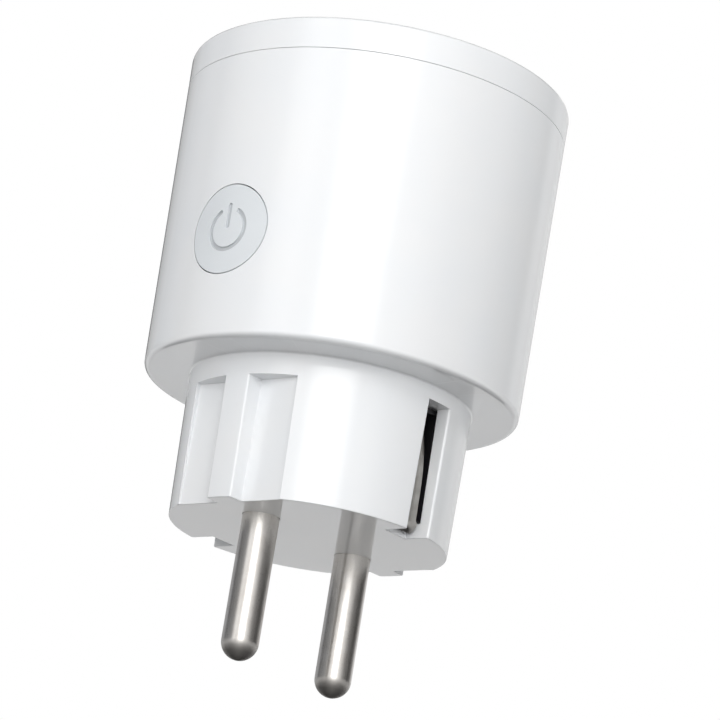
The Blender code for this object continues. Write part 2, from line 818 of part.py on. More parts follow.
def build_straps(materials):
    line_end_z = 0.0245
    line = strip(
        "line_strap",
        [(-0.001, STRAP_Z), (-STRAP_X, STRAP_Z), (-STRAP_X, line_end_z), (-0.0057, line_end_z)],
        [STRAP_HALF] * 4,
        STRAP_THICKNESS,
        y=-PIN_Y,
    )
    eyelet(line, -PIN_Y)
    contact_end_z = 0.0266
    neutral = strip(
        "neutral_strap",
        [(0.001, STRAP_Z), (STRAP_X, STRAP_Z), (STRAP_X, contact_end_z)],
        [STRAP_HALF] * 3,
        STRAP_THICKNESS,
        y=PIN_Y,
    )
    eyelet(neutral, PIN_Y)
    load = strip(
        "load_strap",
        [(STRAP_X, contact_end_z), (STRAP_X, 0.0214), (0.0095, 0.0214)],
        [STRAP_HALF] * 3,
        STRAP_THICKNESS,
        y=-PIN_Y,
    )
    for obj in (line, neutral, load):
        dress(obj, materials["copper"])


# Socket contacts, carrier and shutter -------------------------------------------------------------
CARRIER_TOP_Z = 0.0402
CARRIER_EAR_Z = 0.0387
SHUTTER_LOW_Z = 0.0406
SHUTTER_HIGH_Z = 0.042


def build_socket_contact(name, y, materials):
    inner, outer = 0.0026, 0.0032
    low_z, high_z = 0.028, 0.0395
    sleeve = turned(name, ring_profile(inner, outer, low_z, high_z), ROUND_STEPS, (0.0, y))
    slit_reach, slit_half, slit_low_z = 0.004, 0.00045, 0.0315
    slit = box(
        f"{name}_slit",
        (-slit_reach, y - slit_half, slit_low_z),
        (slit_reach, y + slit_half, high_z + 3 * JOIN),
    )
    cut(sleeve, slit)
    tail_x, tail_thickness, tail_half = 0.0027, 0.0006, 0.0011
    tail_low_z, tail_high_z = 0.024, 0.0302
    tail = box(
        f"{name}_tail",
        (tail_x, y - tail_half, tail_low_z),
        (tail_x + tail_thickness, y + tail_half, tail_high_z),
    )
    join(sleeve, tail)
    dress(sleeve, materials["spring_bronze"])


def build_carrier(materials):
    tiny = 0.0001  # keeps joined faces apart
    carrier = cylinder("contact_carrier", 0.0042, (0, 0, 0.0365), (0, 0, CARRIER_TOP_Z))
    web = box("carrier_web", (-0.0024, -PIN_Y, 0.0366), (0.0024, PIN_Y, CARRIER_TOP_Z - tiny))
    ear_reach, ear_half = 0.0134, 0.0023
    ear_top_z = CARRIER_TOP_Z - 1.5 * tiny
    ears = box("carrier_ears", (-ear_reach, -ear_half, CARRIER_EAR_Z), (ear_reach, ear_half, ear_top_z))
    join(carrier, web, ears)
    cup_radius, cup_bore, cup_low_z = 0.005, 0.0036, 0.027
    for name, side in (("line", -1), ("neutral", 1)):
        y = side * PIN_Y
        cup_ends = ((0, y, cup_low_z), (0, y, CARRIER_TOP_Z - 2 * tiny))
        join(carrier, cylinder(f"{name}_cup", cup_radius, *cup_ends))
        bore_ends = ((0, y, cup_low_z - 2 * JOIN), (0, y, CARRIER_TOP_Z + 2 * JOIN))
        cut(carrier, cylinder(f"{name}_cup_bore", cup_bore, *bore_ends))
    pocket_radius, pocket_low_z = 0.0029, 0.0383
    cut(carrier, cylinder("spring_pocket", pocket_radius, (0, 0, pocket_low_z), (0, 0, 0.041)))
    post_radius, post_low_z, post_high_z = 0.0014, 0.0375, 0.0422
    join(carrier, cylinder("shutter_post", post_radius, (0, 0, post_low_z), (0, 0, post_high_z), 16))
    for name, side in (("left", -1), ("right", 1)):
        x = side * CARRIER_SCREW_X
        hole_ends = ((x, 0, CARRIER_EAR_Z - JOIN), (x, 0, CARRIER_TOP_Z + JOIN))
        cut(carrier, cylinder(f"ear_hole_{name}", SCREW_HOLE_RADIUS, *hole_ends, SMALL_STEPS))
    dress(carrier, materials["carrier_plastic"])

    seat_z = CARRIER_EAR_Z - GAP
    head_height, head_radius, tip_z = 0.0012, 0.002, 0.0433
    for name, side in (("left", -1), ("right", 1)):
        centre = (side * CARRIER_SCREW_X, 0)
        screw(
            f"carrier_screw_{name}", centre, seat_z, head_height, head_radius, tip_z, materials, head_up=False
        )


def build_shutter(materials):
    low, high = SHUTTER_LOW_Z, SHUTTER_HIGH_Z
    tiny = 0.0001  # keeps joined faces apart
    hub_radius, arm_half, pad_radius, bore_radius = 0.0036, 0.0021, 0.0037, 0.0017
    shutter = cylinder("shutter", hub_radius, (0, 0, low), (0, 0, high))
    arm = box("shutter_arm", (-arm_half, -PIN_Y, low + tiny), (arm_half, PIN_Y, high - tiny))
    join(shutter, arm)
    ramp_small, ramp_wide, ramp_depth, ramp_above = 0.0012, 0.0034, 0.0006, 0.0004
    for name, side in (("line", -1), ("neutral", 1)):
        y = side * PIN_Y
        pad_ends = ((0, y, low + tiny / 2), (0, y, high - tiny / 2))
        join(shutter, cylinder(f"{name}_pad", pad_radius, *pad_ends))
        ramp_ends = ((0, y, high - ramp_depth), (0, y, high + ramp_above))
        cut(shutter, cylinder(f"{name}_ramp", ramp_small, *ramp_ends, end_radius=ramp_wide))
    bore_ends = ((0, 0, low - 2 * JOIN), (0, 0, high + 2 * JOIN))
    cut(shutter, cylinder("shutter_bore", bore_radius, *bore_ends, 16))
    put_origin(shutter, (0.0, 0.0, low))
    dress(shutter, materials["carrier_plastic"])
    coil_radius, wire_radius, coil_low_z, coil_high_z, turns = 0.0022, 0.0002, 0.0387, 0.0401, 3
    spring = coil_spring(
        "shutter_spring", (0.0, 0.0), coil_radius, wire_radius, coil_low_z, coil_high_z, turns
    )
    dress(spring, materials["spring_steel"])


# Earth path ---------------------------------------------------------------------------------------
BRIDGE_Z = 0.0214
BLADE_FLANGE_Z = 0.0206
EARTH_RIVET_X = 0.0108
EARTH_THICKNESS = 0.0006
RIVET_HOLE_RADIUS = 0.0009
CLIP_THICKNESS = 0.0005
CLIP_HALF = 0.0021


def mirrored(path, side):
    return [(side * x, z) for x, z in path]


def build_earth_blade(name, side, materials):
    """The sprung contact in the insert's side. Its foot fills the notch in the end face."""
    foot = arc((0.0148, 0.0019), 0.0011, -80, 0, 4)
    path = foot + [
        (0.0159, 0.0022),
        (0.01585, 0.008),
        (0.0154, 0.012),
        (0.0147, 0.0146),
        (0.013, 0.0164),
        (0.013, BLADE_FLANGE_Z),
        (0.0085, BLADE_FLANGE_Z),
    ]
    wide, narrow = 0.0018, 0.0015
    widths = [wide] * len(foot) + [narrow] * (len(path) - len(foot))
    blade = strip(name, mirrored(path, side), widths, EARTH_THICKNESS)
    x = side * EARTH_RIVET_X
    hole_ends = ((x, 0, BLADE_FLANGE_Z - EARTH_THICKNESS), (x, 0, BLADE_FLANGE_Z + EARTH_THICKNESS))
    cut(blade, cylinder(f"{name}_hole", RIVET_HOLE_RADIUS, *hole_ends, SMALL_STEPS))
    dress(blade, materials["spring_bronze"])


def build_earth_guide(name, side, materials):
    """The black frame round the blade's slot: two posts and a bar across their tops."""
    inner_half, outer_half = 0.0023, EARTH_SLOT_HALF - GAP
    low_z, high_z = EARTH_NOTCH_TOP_Z + GAP, EARTH_SLOT_TOP_Z - GAP
    inner_x, outer_x = 0.0139, EARTH_RECESS_X - GAP + 0.00005
    bar_x, bar_height = 0.0146, 0.0007
    tiny = 0.00005  # keeps joined faces apart
    xs = sorted((side * inner_x, side * outer_x))
    guide = box(name, (xs[0], inner_half, low_z), (xs[1], outer_half, high_z))
    far_post = box(f"{name}_post", (xs[0], -outer_half, low_z), (xs[1], -inner_half, high_z))
    bar_xs = sorted((side * bar_x, side * (outer_x - tiny)))
    bar_half = outer_half - tiny
    bar_low_z = high_z - bar_height
    bar = box(f"{name}_bar", (bar_xs[0], -bar_half, bar_low_z), (bar_xs[1], bar_half, high_z - tiny))
    join(guide, bar, far_post)
    dress(guide, materials["black_resin"])


def build_earth_clip(name, side, materials):
    """The sprung clip in the wall of the socket recess, above the end of the bridge."""
    path = [
        (0.0192, 0.0242),
        (0.0192, 0.0472),
        (0.0186, 0.0484),
        (0.0174, 0.0508),
        (0.017, 0.0526),
        (0.0174, 0.0544),
        (0.0186, 0.0568),
        (0.0195, 0.0586),
    ]
    clip = strip(name, mirrored(path, side), [CLIP_HALF] * len(path), CLIP_THICKNESS)
    dress(clip, materials["spring_bronze"])


def build_earth(materials):
    end_x, half_width = 0.0183, 0.0015
    top_z = 0.031
    bridge = strip(
        "earth_bridge",
        [(-end_x, top_z), (-end_x, BRIDGE_Z), (end_x, BRIDGE_Z), (end_x, top_z)],
        [half_width] * 4,
        EARTH_THICKNESS,
    )
    for name, side in (("left", -1), ("right", 1)):
        x = side * EARTH_RIVET_X
        hole_ends = ((x, 0, BRIDGE_Z - EARTH_THICKNESS), (x, 0, BRIDGE_Z + EARTH_THICKNESS))
        cut(bridge, cylinder(f"bridge_hole_{name}", RIVET_HOLE_RADIUS, *hole_ends, SMALL_STEPS))
        build_earth_blade(f"earth_blade_{name}", side, materials)
        build_earth_guide(f"earth_guide_{name}", side, materials)
        build_earth_clip(f"earth_clip_{name}", side, materials)
        rivet = turned(
            f"earth_rivet_{name}",
            [
                (0.0, 0.0221),
                (0.0011, 0.0221),
                (0.0011, 0.0218),
                (0.0006, 0.0218),
                (0.0006, 0.0202),
                (0.0011, 0.0202),
                (0.0011, 0.0199),
                (0.0, 0.0199),
            ],
            SMALL_STEPS,
            (x, 0.0),
        )
        dress(rivet, materials["copper"])
    dress(bridge, materials["spring_bronze"])


def main():
    global parts_collection, cutters_collection
    clear_scene()
    parts_collection = new_collection("smart_plug")
    cutters_collection = new_collection("cutters")
    materials = make_materials()
    build_housing(materials)
    build_cover(materials)
    build_button(materials)
    build_control_board(materials)
    build_main_board(materials)
    build_board_parts(materials)
    build_relay_shell(materials)
    build_relay_coil(materials)
    build_relay_magnet(materials)
    build_pin("line_pin", -PIN_Y, materials)
    build_pin("neutral_pin", PIN_Y, materials)
    build_retainer(materials)
    build_straps(materials)
    build_socket_contact("line_socket_contact", -PIN_Y, materials)
    build_socket_contact("neutral_socket_contact", PIN_Y, materials)
    build_carrier(materials)
    build_shutter(materials)
    build_earth(materials)


main()
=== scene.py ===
"""Looks of a round smart plug: a switched adapter with plug pins below and an earthed socket above.

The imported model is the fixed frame. Each sub-assembly is a class that builds finer meshes over its nodes and
gives them their finishes. Lengths are in metres and angles in degrees unless a name says otherwise.
"""

import json
import logging
import math
from collections.abc import Iterable, Sequence
from dataclasses import dataclass, field
from enum import Enum
from itertools import pairwise

import bmesh
import bpy
from mathutils import Matrix, Quaternion, Vector


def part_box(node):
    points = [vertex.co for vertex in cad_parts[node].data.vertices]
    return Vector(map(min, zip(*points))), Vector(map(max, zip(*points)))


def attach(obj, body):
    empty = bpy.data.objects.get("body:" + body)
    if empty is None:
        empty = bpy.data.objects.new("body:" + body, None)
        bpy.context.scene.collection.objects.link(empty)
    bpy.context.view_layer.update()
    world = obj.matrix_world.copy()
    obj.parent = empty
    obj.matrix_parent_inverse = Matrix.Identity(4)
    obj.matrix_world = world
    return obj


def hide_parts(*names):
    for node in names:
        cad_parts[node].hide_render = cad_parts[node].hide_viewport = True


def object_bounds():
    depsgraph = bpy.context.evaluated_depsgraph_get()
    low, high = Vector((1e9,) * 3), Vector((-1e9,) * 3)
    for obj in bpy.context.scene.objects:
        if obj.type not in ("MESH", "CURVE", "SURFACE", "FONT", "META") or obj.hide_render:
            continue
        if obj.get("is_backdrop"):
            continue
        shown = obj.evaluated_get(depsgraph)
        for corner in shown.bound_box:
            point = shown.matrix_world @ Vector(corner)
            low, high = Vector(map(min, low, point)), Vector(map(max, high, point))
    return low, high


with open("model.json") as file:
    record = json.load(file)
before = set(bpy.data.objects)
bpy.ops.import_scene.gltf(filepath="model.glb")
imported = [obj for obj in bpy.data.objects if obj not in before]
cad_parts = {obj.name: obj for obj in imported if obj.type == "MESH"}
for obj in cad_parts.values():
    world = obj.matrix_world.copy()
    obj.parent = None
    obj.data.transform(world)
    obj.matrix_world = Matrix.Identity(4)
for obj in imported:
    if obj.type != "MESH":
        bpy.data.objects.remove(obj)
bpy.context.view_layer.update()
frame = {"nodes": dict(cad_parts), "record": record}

logging.basicConfig(level=logging.INFO, format="%(message)s")
log = logging.getLogger("smart_plug")

MM = 0.001
MERGE = 1e-7  # points closer than this are one point
SHARP_ANGLE = 33.0  # an edge that turns more than this stays crisp


# Finishes -----------------------------------------------------------------------------------------
def srgb(hex_code: str) -> tuple[float, float, float, float]:
    """Turns an sRGB colour into the linear one that shaders take.

    Args:
        hex_code: the colour as "#RRGGBB".

    Returns:
        Red, green, blue and alpha, linear, from 0 to 1.
    """
    values = [int(hex_code[i : i + 2], 16) / 255 for i in (1, 3, 5)]
    linear = [v / 12.92 if v <= 0.04045 else ((v + 0.055) / 1.055) ** 2.4 for v in values]
    return (linear[0], linear[1], linear[2], 1.0)


def add_node(
    tree: bpy.types.NodeTree,
    kind: str,
    settings: dict[str | int, object] | None = None,
    links: dict[str | int, bpy.types.NodeSocket] | None = None,
) -> bpy.types.Node:
    """Adds one node with its settings and its incoming links.

    Args:
        tree: the node tree that gets it.
        kind: the node's type after "ShaderNode".
        settings: a property name, or an input's name or number, and its value; "stops" holds a ramp's
            (place, colour) pairs.
        links: an input's name or number, and the socket that feeds it.

    Returns:
        The new node.
    """
    node = tree.nodes.new("ShaderNode" + kind)
    for name, value in (settings or {}).items():
        if name == "stops":
            ramp = node.color_ramp
            while len(ramp.elements) < len(value):
                ramp.elements.new(1.0)
            for element, (place, colour) in zip(ramp.elements, value):
                element.position = place
                element.color = colour
        elif isinstance(name, int) or name in node.inputs:
            node.inputs[name].default_value = value
        else:
            setattr(node, name, value)
    for name, socket in (links or {}).items():
        tree.links.new(socket, node.inputs[name])
    return node


@dataclass(frozen=True)
class Finish:
    """One real material and the way its surface was made."""

    name: str
    colour: str
    roughness: float
    metallic: float = 0.0
    ior: float | None = None  # a metal keeps the shader's own
    glow: float = 0.0

    def material(self) -> bpy.types.Material:
        """Gives the Blender material, made on first use."""
        made = bpy.data.materials.get(self.name)
        if made is not None:
            return made
        made = bpy.data.materials.new(self.name)
        made.use_nodes = True
        tree = made.node_tree
        tree.nodes.clear()
        settings: dict[str, object] = {
            "Base Color": srgb(self.colour),
            "Roughness": self.roughness,
            "Metallic": self.metallic,
        }
        if self.ior is not None:
            settings["IOR"] = self.ior
        if self.glow > 0:
            settings["Emission Color"] = srgb("#FFFFFF")
            settings["Emission Strength"] = self.glow
        surface = add_node(tree, "BsdfPrincipled", settings)
        place = add_node(tree, "TexCoord").outputs["Object"]
        self.pattern(tree, surface, place)
        add_node(tree, "OutputMaterial", links={"Surface": surface.outputs["BSDF"]})
        return made

    def pattern(
        self, tree: bpy.types.NodeTree, surface: bpy.types.Node, place: bpy.types.NodeSocket
    ) -> None:
        """Adds the surface's own texture; each kind of finish has its own.

        Args:
            tree: the material's node tree.
            surface: its Principled shader.
            place: the socket with the position on the object, in metres.
        """


@dataclass(frozen=True)
class MouldedPlastic(Finish):
    """Injection-moulded plastic: tool polish or spark texture, and faint flow mottling in its colour."""

    grain_mm: float = 0.5
    grain_depth_mm: float = 0.002
    mottle: str = "#EFF1F3"
    roughness_spread: float = 0.04

    def pattern(
        self, tree: bpy.types.NodeTree, surface: bpy.types.Node, place: bpy.types.NodeSocket
    ) -> None:
        """Adds the grain, the mottling and the uneven gloss."""
        cloud = add_node(
            tree, "TexNoise", {"Scale": 1 / (9 * MM), "Detail": 2.0}, {"Vector": place}
        )
        mottling = add_node(
            tree,
            "ValToRGB",
            {"stops": ((0.35, srgb(self.colour)), (0.7, srgb(self.mottle)))},
            {"Fac": cloud.outputs["Fac"]},
        )
        tree.links.new(mottling.outputs["Color"], surface.inputs["Base Color"])
        gloss = add_node(
            tree,
            "MapRange",
            {
                "To Min": self.roughness - self.roughness_spread,
                "To Max": self.roughness + self.roughness_spread,
            },
            {"Value": cloud.outputs["Fac"]},
        )
        tree.links.new(gloss.outputs["Result"], surface.inputs["Roughness"])
        grain = add_node(
            tree, "TexNoise", {"Scale": 1 / (self.grain_mm * MM), "Detail": 3.0}, {"Vector": place}
        )
        bump = add_node(
            tree,
            "Bump",
            {"Strength": 1.0, "Distance": self.grain_depth_mm * MM},
            {"Height": grain.outputs["Fac"]},
        )
        tree.links.new(bump.outputs["Normal"], surface.inputs["Normal"])


@dataclass(frozen=True)
class WorkedMetal(Finish):
    """Metal with fine lines from drawing, rolling or turning, which run along one axis."""

    shade: str = "#8A8681"
    line_mm: float = 0.06
    line_length_mm: float = 3.0
    line_depth_mm: float = 0.004
    along: int = 2  # the axis that the lines follow: 0 x, 1 y, 2 z
    roughness_spread: float = 0.08

    def pattern(
        self, tree: bpy.types.NodeTree, surface: bpy.types.Node, place: bpy.types.NodeSocket
    ) -> None:
        """Adds the lines, the dull patches between them and the uneven tone."""
        scale = [1 / (self.line_mm * MM)] * 3
        scale[self.along] = 1 / (self.line_length_mm * MM)
        stretched = add_node(tree, "Mapping", {"Scale": scale}, {"Vector": place})
        lines = add_node(
            tree, "TexNoise", {"Scale": 1.0, "Detail": 2.0}, {"Vector": stretched.outputs["Vector"]}
        )
        patches = add_node(
            tree, "TexNoise", {"Scale": 1 / (1.6 * MM), "Detail": 4.0}, {"Vector": place}
        )
        tone = add_node(
            tree,
            "ValToRGB",
            {"stops": ((0.3, srgb(self.shade)), (0.6, srgb(self.colour)))},
            {"Fac": patches.outputs["Fac"]},
        )
        tree.links.new(tone.outputs["Color"], surface.inputs["Base Color"])
        gloss = add_node(
            tree,
            "MapRange",
            {
                "From Min": 0.3,
                "From Max": 0.7,
                "To Min": self.roughness - self.roughness_spread,
                "To Max": self.roughness + self.roughness_spread,
            },
            {"Value": lines.outputs["Fac"]},
        )
        tree.links.new(gloss.outputs["Result"], surface.inputs["Roughness"])
        bump = add_node(
            tree,
            "Bump",
            {"Strength": 1.0, "Distance": self.line_depth_mm * MM},
            {"Height": lines.outputs["Fac"]},
        )
        tree.links.new(bump.outputs["Normal"], surface.inputs["Normal"])


@dataclass(frozen=True)
class PolishedPin(WorkedMetal):
    """A pin polished while it turned: its highlights are long, its nose is duller, and painted shade darkens
    its nose.
    """

    stretch: float = 0.6
    quarter_turn: float = 0.25  # lays the stretch along the pin
    # painted shade: the nose's darker colour stands in for dark surroundings reflected on it
    nose_shade: str = "#8C8986"
    nose_roughness: float = 0.62
    nose_low_mm: float = -18.8  # the nose's tip
    nose_high_mm: float = -16.1  # where it meets the straight part
    nose_full: float = 0.35  # the share of its height that the painted shade darkens fully
    nose_clear: float = 0.9  # the share from which it has no painted shade

    def pattern(
        self, tree: bpy.types.NodeTree, surface: bpy.types.Node, place: bpy.types.NodeSocket
    ) -> None:
        """Adds the stretched gloss, the dull nose and the painted shade on the nose to the worked metal."""
        super().pattern(tree, surface, place)
        surface.inputs["Anisotropic"].default_value = self.stretch
        surface.inputs["Anisotropic Rotation"].default_value = self.quarter_turn
        rings = add_node(tree, "Tangent", {"direction_type": "RADIAL", "axis": "Z"})
        tree.links.new(rings.outputs["Tangent"], surface.inputs["Tangent"])
        height = add_node(tree, "SeparateXYZ", links={"Vector": place})
        share = add_node(
            tree,
            "MapRange",
            {"From Min": self.nose_low_mm * MM, "From Max": self.nose_high_mm * MM},
            {"Value": height.outputs["Z"]},
        )
        none, full = srgb("#000000"), srgb("#FFFFFF")
        # painted shade on the nose: 1 where its colour is darkened fully, 0 where it keeps the metal's own
        # colour
        worn = add_node(
            tree,
            "ValToRGB",
            {"stops": ((0.0, full), (self.nose_full, full), (self.nose_clear, none))},
            {"Fac": share.outputs["Result"]},
        )
        clean = surface.inputs["Base Color"].links[0].from_socket
        tone = add_node(
            tree,
            "Mix",
            {"data_type": "RGBA", 7: srgb(self.nose_shade)},
            {0: worn.outputs["Color"], 6: clean},
        )
        tree.links.new(tone.outputs[2], surface.inputs["Base Color"])
        fine = surface.inputs["Roughness"].links[0].from_socket
        dull = add_node(
            tree,
            "Mix",
            {"data_type": "FLOAT", 3: self.nose_roughness},
            {0: worn.outputs["Color"], 2: fine},
        )
        tree.links.new(dull.outputs[0], surface.inputs["Roughness"])


@dataclass(frozen=True)
class SolderMask(Finish):
    """Green-coated glass laminate whose copper tracks show as paler lines under the coat."""

    track: str = "#3E8A55"
    track_pitch_mm: float = 1.27

    def pattern(
        self, tree: bpy.types.NodeTree, surface: bpy.types.Node, place: bpy.types.NodeSocket
    ) -> None:
        """Adds the tracks as a raised brick-like net."""
        tracks = add_node(
            tree,
            "TexBrick",
            {
                "Scale": 1 / (4 * self.track_pitch_mm * MM),
                "Mortar Size": 0.03,
                "Color1": srgb(self.colour),
                "Color2": srgb(self.colour),
                "Mortar": srgb(self.track),
            },
            {"Vector": place},
        )
        tree.links.new(tracks.outputs["Color"], surface.inputs["Base Color"])
        bump = add_node(
            tree, "Bump", {"Distance": 0.03 * MM, "invert": True}, {"Height": tracks.outputs["Fac"]}
        )
        tree.links.new(bump.outputs["Normal"], surface.inputs["Normal"])


# Polycarbonate from a polished mould: a hard even gloss on a faintly cool white.
GLOSSY_WHITE = MouldedPlastic(
    "polished_moulded_polycarbonate", "#F1F2F3", 0.05, ior=1.585, grain_mm=3.0, grain_depth_mm=0.0004,
    roughness_spread=0.012,
)
# The same plastic from a spark-textured tool: the key's satin face spreads its highlights and looks greyer.
SATIN_KEY = MouldedPlastic(
    "satin_moulded_key", "#E2E6E9", 0.42, ior=1.585, grain_mm=0.12, grain_depth_mm=0.003,
    mottle="#DFE3E6",
)
# Grey sheet in the bottom of the key's sign: painted shade that darkens the sunk sign's floor.
SIGN_GREY = MouldedPlastic("moulded_light_guide", "#C3C6C9", 0.35, ior=1.585, mottle="#BEC1C4")
# Nickel plate over turned brass, polished in the lathe: warm grey with one bright stripe.
PIN_NICKEL = PolishedPin(
    "satin_nickel_plate", "#C9C6C2", 0.3, metallic=1.0, shade="#C1BDB8", line_length_mm=0.25,
    line_depth_mm=0.0006, roughness_spread=0.03,
)
# Rolled phosphor bronze, tin-washed: dull neutral grey with lines along the strip.
SPRING_BRONZE = WorkedMetal(
    "tinned_spring_bronze", "#B4B2AE", 0.36, metallic=1.0, shade="#A19E99", line_length_mm=2.0,
    line_depth_mm=0.002,
)
# Annealed copper: warm orange with rolling lines.
COPPER = WorkedMetal("rolled_copper", "#D88A63", 0.32, metallic=1.0, shade="#B5693F")
# Pickled soft iron: dark, even and slightly grainy.
SOFT_IRON = WorkedMetal(
    "pickled_soft_iron", "#8C8A87", 0.45, metallic=1.0, shade="#6F6D6A", line_mm=0.2, line_length_mm=0.5
)
# Drawn spring wire and tinned steel sheet: cooler and brighter than iron.
SPRING_STEEL = WorkedMetal("drawn_spring_steel", "#B9BCC0", 0.28, metallic=1.0, shade="#989BA0")
# Glass laminate under a green solder mask.
BOARD_GREEN = SolderMask("solder_masked_laminate", "#1F5A33", 0.35, ior=1.5)
# Filled epoxy pressed round a chip: charcoal and nearly matt.
BLACK_EPOXY = MouldedPlastic(
    "pressed_black_epoxy", "#1C1C1E", 0.55, ior=1.5, grain_mm=0.08, grain_depth_mm=0.004, mottle="#242426"
)
# Glass-filled polyester of the relay base, switch and earth guides: black with a low sheen.
BLACK_RESIN = MouldedPlastic(
    "glass_filled_black_resin", "#151517", 0.38, ior=1.55, grain_mm=0.3, mottle="#1B1B1E"
)
# Natural nylon of carrier, shutter and bobbin: warm off-white and waxy.
NATURAL_NYLON = MouldedPlastic(
    "natural_moulded_nylon", "#E9E6DC", 0.4, ior=1.53, grain_mm=0.4, mottle="#E3DFD3"
)
# Shrunk PET sleeve of a capacitor, also used for the relay case: dark blue and shiny.
CAN_SLEEVE = MouldedPlastic("shrunk_can_sleeve", "#1B2A4A", 0.22, ior=1.57, grain_mm=1.5, mottle="#1F3054")
# Baked enamel on a resistor: matt duck-egg blue.
RESISTOR_COAT = MouldedPlastic("baked_resistor_enamel", "#7FA7A6", 0.5, ior=1.5, mottle="#759C9B")
# Dipped epoxy on a varistor: thick, glossy and uneven.
VARISTOR_COAT = MouldedPlastic(
    "dipped_varistor_epoxy", "#1F4F8F", 0.25, ior=1.55, grain_mm=1.2, grain_depth_mm=0.03, mottle="#255A9E"
)
# Diffused epoxy of the status lamp: milky.
LAMP_LENS = MouldedPlastic("diffused_lamp_epoxy", "#DDE9F2", 0.2, ior=1.5, mottle="#D2E2EE")

# Matt acrylic floor, lit from behind: as white as the backdrop.
BACKLIT_FLOOR = Finish("backlit_matt_acrylic", "#F4F4F4", 0.8, ior=1.4, glow=0.9)
# Dark felt of the flag on the floor.
BLACK_FELT = Finish("dyed_black_felt", "#4A4A4A", 0.95, ior=1.3)

SLOT_FINISHES: dict[str, Finish] = {
    "white_shell": GLOSSY_WHITE,
    "button_plastic": SATIN_KEY,
    "nickel": PIN_NICKEL,
    "spring_bronze": SPRING_BRONZE,
    "copper": COPPER,
    "iron": SOFT_IRON,
    "spring_steel": SPRING_STEEL,
    "board_green": BOARD_GREEN,
    "black_epoxy": BLACK_EPOXY,
    "black_resin": BLACK_RESIN,
    "carrier_plastic": NATURAL_NYLON,
    "can_sleeve": CAN_SLEEVE,
    "resistor_coating": RESISTOR_COAT,
    "varistor_coating": VARISTOR_COAT,
    "led_lens": LAMP_LENS,
}


# Mesh making --------------------------------------------------------------------------------------
class Operation(Enum):
    """What a Boolean does with its tools."""

    CUT = "DIFFERENCE"
    JOIN = "UNION"
    KEEP = "INTERSECT"


Profile = Sequence[tuple[float, float]]


def arc(
    centre: tuple[float, float], radius: float, start: float, end: float, count: int = 5
) -> list[tuple[float, float]]:
    """Gives the points of a circular arc.

    Args:
        centre: its centre.
        radius: its radius.
        start: the first point's angle.
        end: the last point's angle.
        count: how many straight steps it takes.

    Returns:
        count + 1 points, both ends included.
    """
    points = []
    for i in range(count + 1):
        angle = math.radians(start + (end - start) * i / count)
        points.append((centre[0] + radius * math.cos(angle), centre[1] + radius * math.sin(angle)))
    return points


def object_from(name: str, shape: bmesh.types.BMesh) -> bpy.types.Object:
    """Turns a bmesh with outward faces into an object in the scene, and frees it.

    Args:
        name: the object's name.
        shape: the closed mesh.

    Returns:
        The new object.
    """
    bmesh.ops.recalc_face_normals(shape, faces=shape.faces)
    mesh = bpy.data.meshes.new(name)
    shape.to_mesh(mesh)
    shape.free()
    obj = bpy.data.objects.new(name, mesh)
    bpy.context.scene.collection.objects.link(obj)
    return obj


def ring_stack(name: str, rings: Sequence[Sequence[Vector]]) -> bpy.types.Object:
    """Skins rings of equal length into one closed mesh with a flat cap on each end.

    Args:
        name: the object's name.
        rings: the rings in order; one that shrinks to a point closes the mesh by itself.

    Returns:
        The new object.
    """
    shape = bmesh.new()
    rows = [[shape.verts.new(point) for point in ring] for ring in rings]
    count = len(rows[0])
    for row, following in pairwise(rows):
        for i in range(count):
            j = (i + 1) % count
            shape.faces.new((row[i], row[j], following[j], following[i]))
    for row in (rows[0], rows[-1]):
        if (row[0].co - row[count // 2].co).length > MERGE:
            shape.faces.new(row)
    bmesh.ops.remove_doubles(shape, verts=shape.verts, dist=MERGE)
    return object_from(name, shape)


def turned(
    name: str, profile: Profile, steps: int = 64, centre: tuple[float, float] = (0.0, 0.0)
) -> bpy.types.Object:
    """Turns a profile about a vertical axis.

    Args:
        name: the object's name.
        profile: the (radius, z) points from one end to the other.
        steps: how many straight steps go round.
        centre: the axis's x and y.

    Returns:
        The closed solid.
    """
    rings = []
    for radius, z in profile:
        turns = [2 * math.pi * i / steps for i in range(steps)]
        rings.append(
            [Vector((centre[0] + radius * math.cos(a), centre[1] + radius * math.sin(a), z)) for a in turns]
        )
    return ring_stack(name, rings)


def rod(
    name: str,
    radius: float,
    start: Vector,
    end: Vector,
    steps: int = 48,
    end_radius: float | None = None,
) -> bpy.types.Object:
    """Makes a round bar or a cone between two points.

    Args:
        name: the object's name.
        radius: the radius at its start.
        start: the centre of its first end.
        end: the centre of its other end.
        steps: how many straight steps go round.
        end_radius: the radius at its end, if it tapers.

    Returns:
        The closed solid.
    """
    start, end = Vector(start), Vector(end)
    far = radius if end_radius is None else end_radius
    bar = turned(name, [(radius, 0.0), (far, (end - start).length)], steps)
    aim = (end - start).to_track_quat("Z", "Y").to_matrix().to_4x4()
    bar.data.transform(Matrix.Translation(start) @ aim)
    return bar


def block(
    name: str, low: Iterable[float], high: Iterable[float], edge: float = 0.0, segments: int = 3
) -> bpy.types.Object:
    """Makes a box, with its edges rounded if asked.

    Args:
        name: the object's name.
        low: one corner.
        high: the opposite corner.
        edge: the radius of its rounded edges.
        segments: how many steps each rounding takes.

    Returns:
        The closed solid.
    """
    first, second = Vector(low), Vector(high)
    lowest, highest = Vector(map(min, first, second)), Vector(map(max, first, second))
    shape = bmesh.new()
    bmesh.ops.create_cube(shape, size=1.0)
    bmesh.ops.scale(shape, vec=highest - lowest, verts=shape.verts)
    bmesh.ops.translate(shape, vec=(lowest + highest) / 2, verts=shape.verts)
    if edge > 0:
        bmesh.ops.bevel(
            shape, geom=shape.edges, offset=edge, offset_type="OFFSET", segments=segments, profile=0.5,
            affect="EDGES",
        )
    return object_from(name, shape)


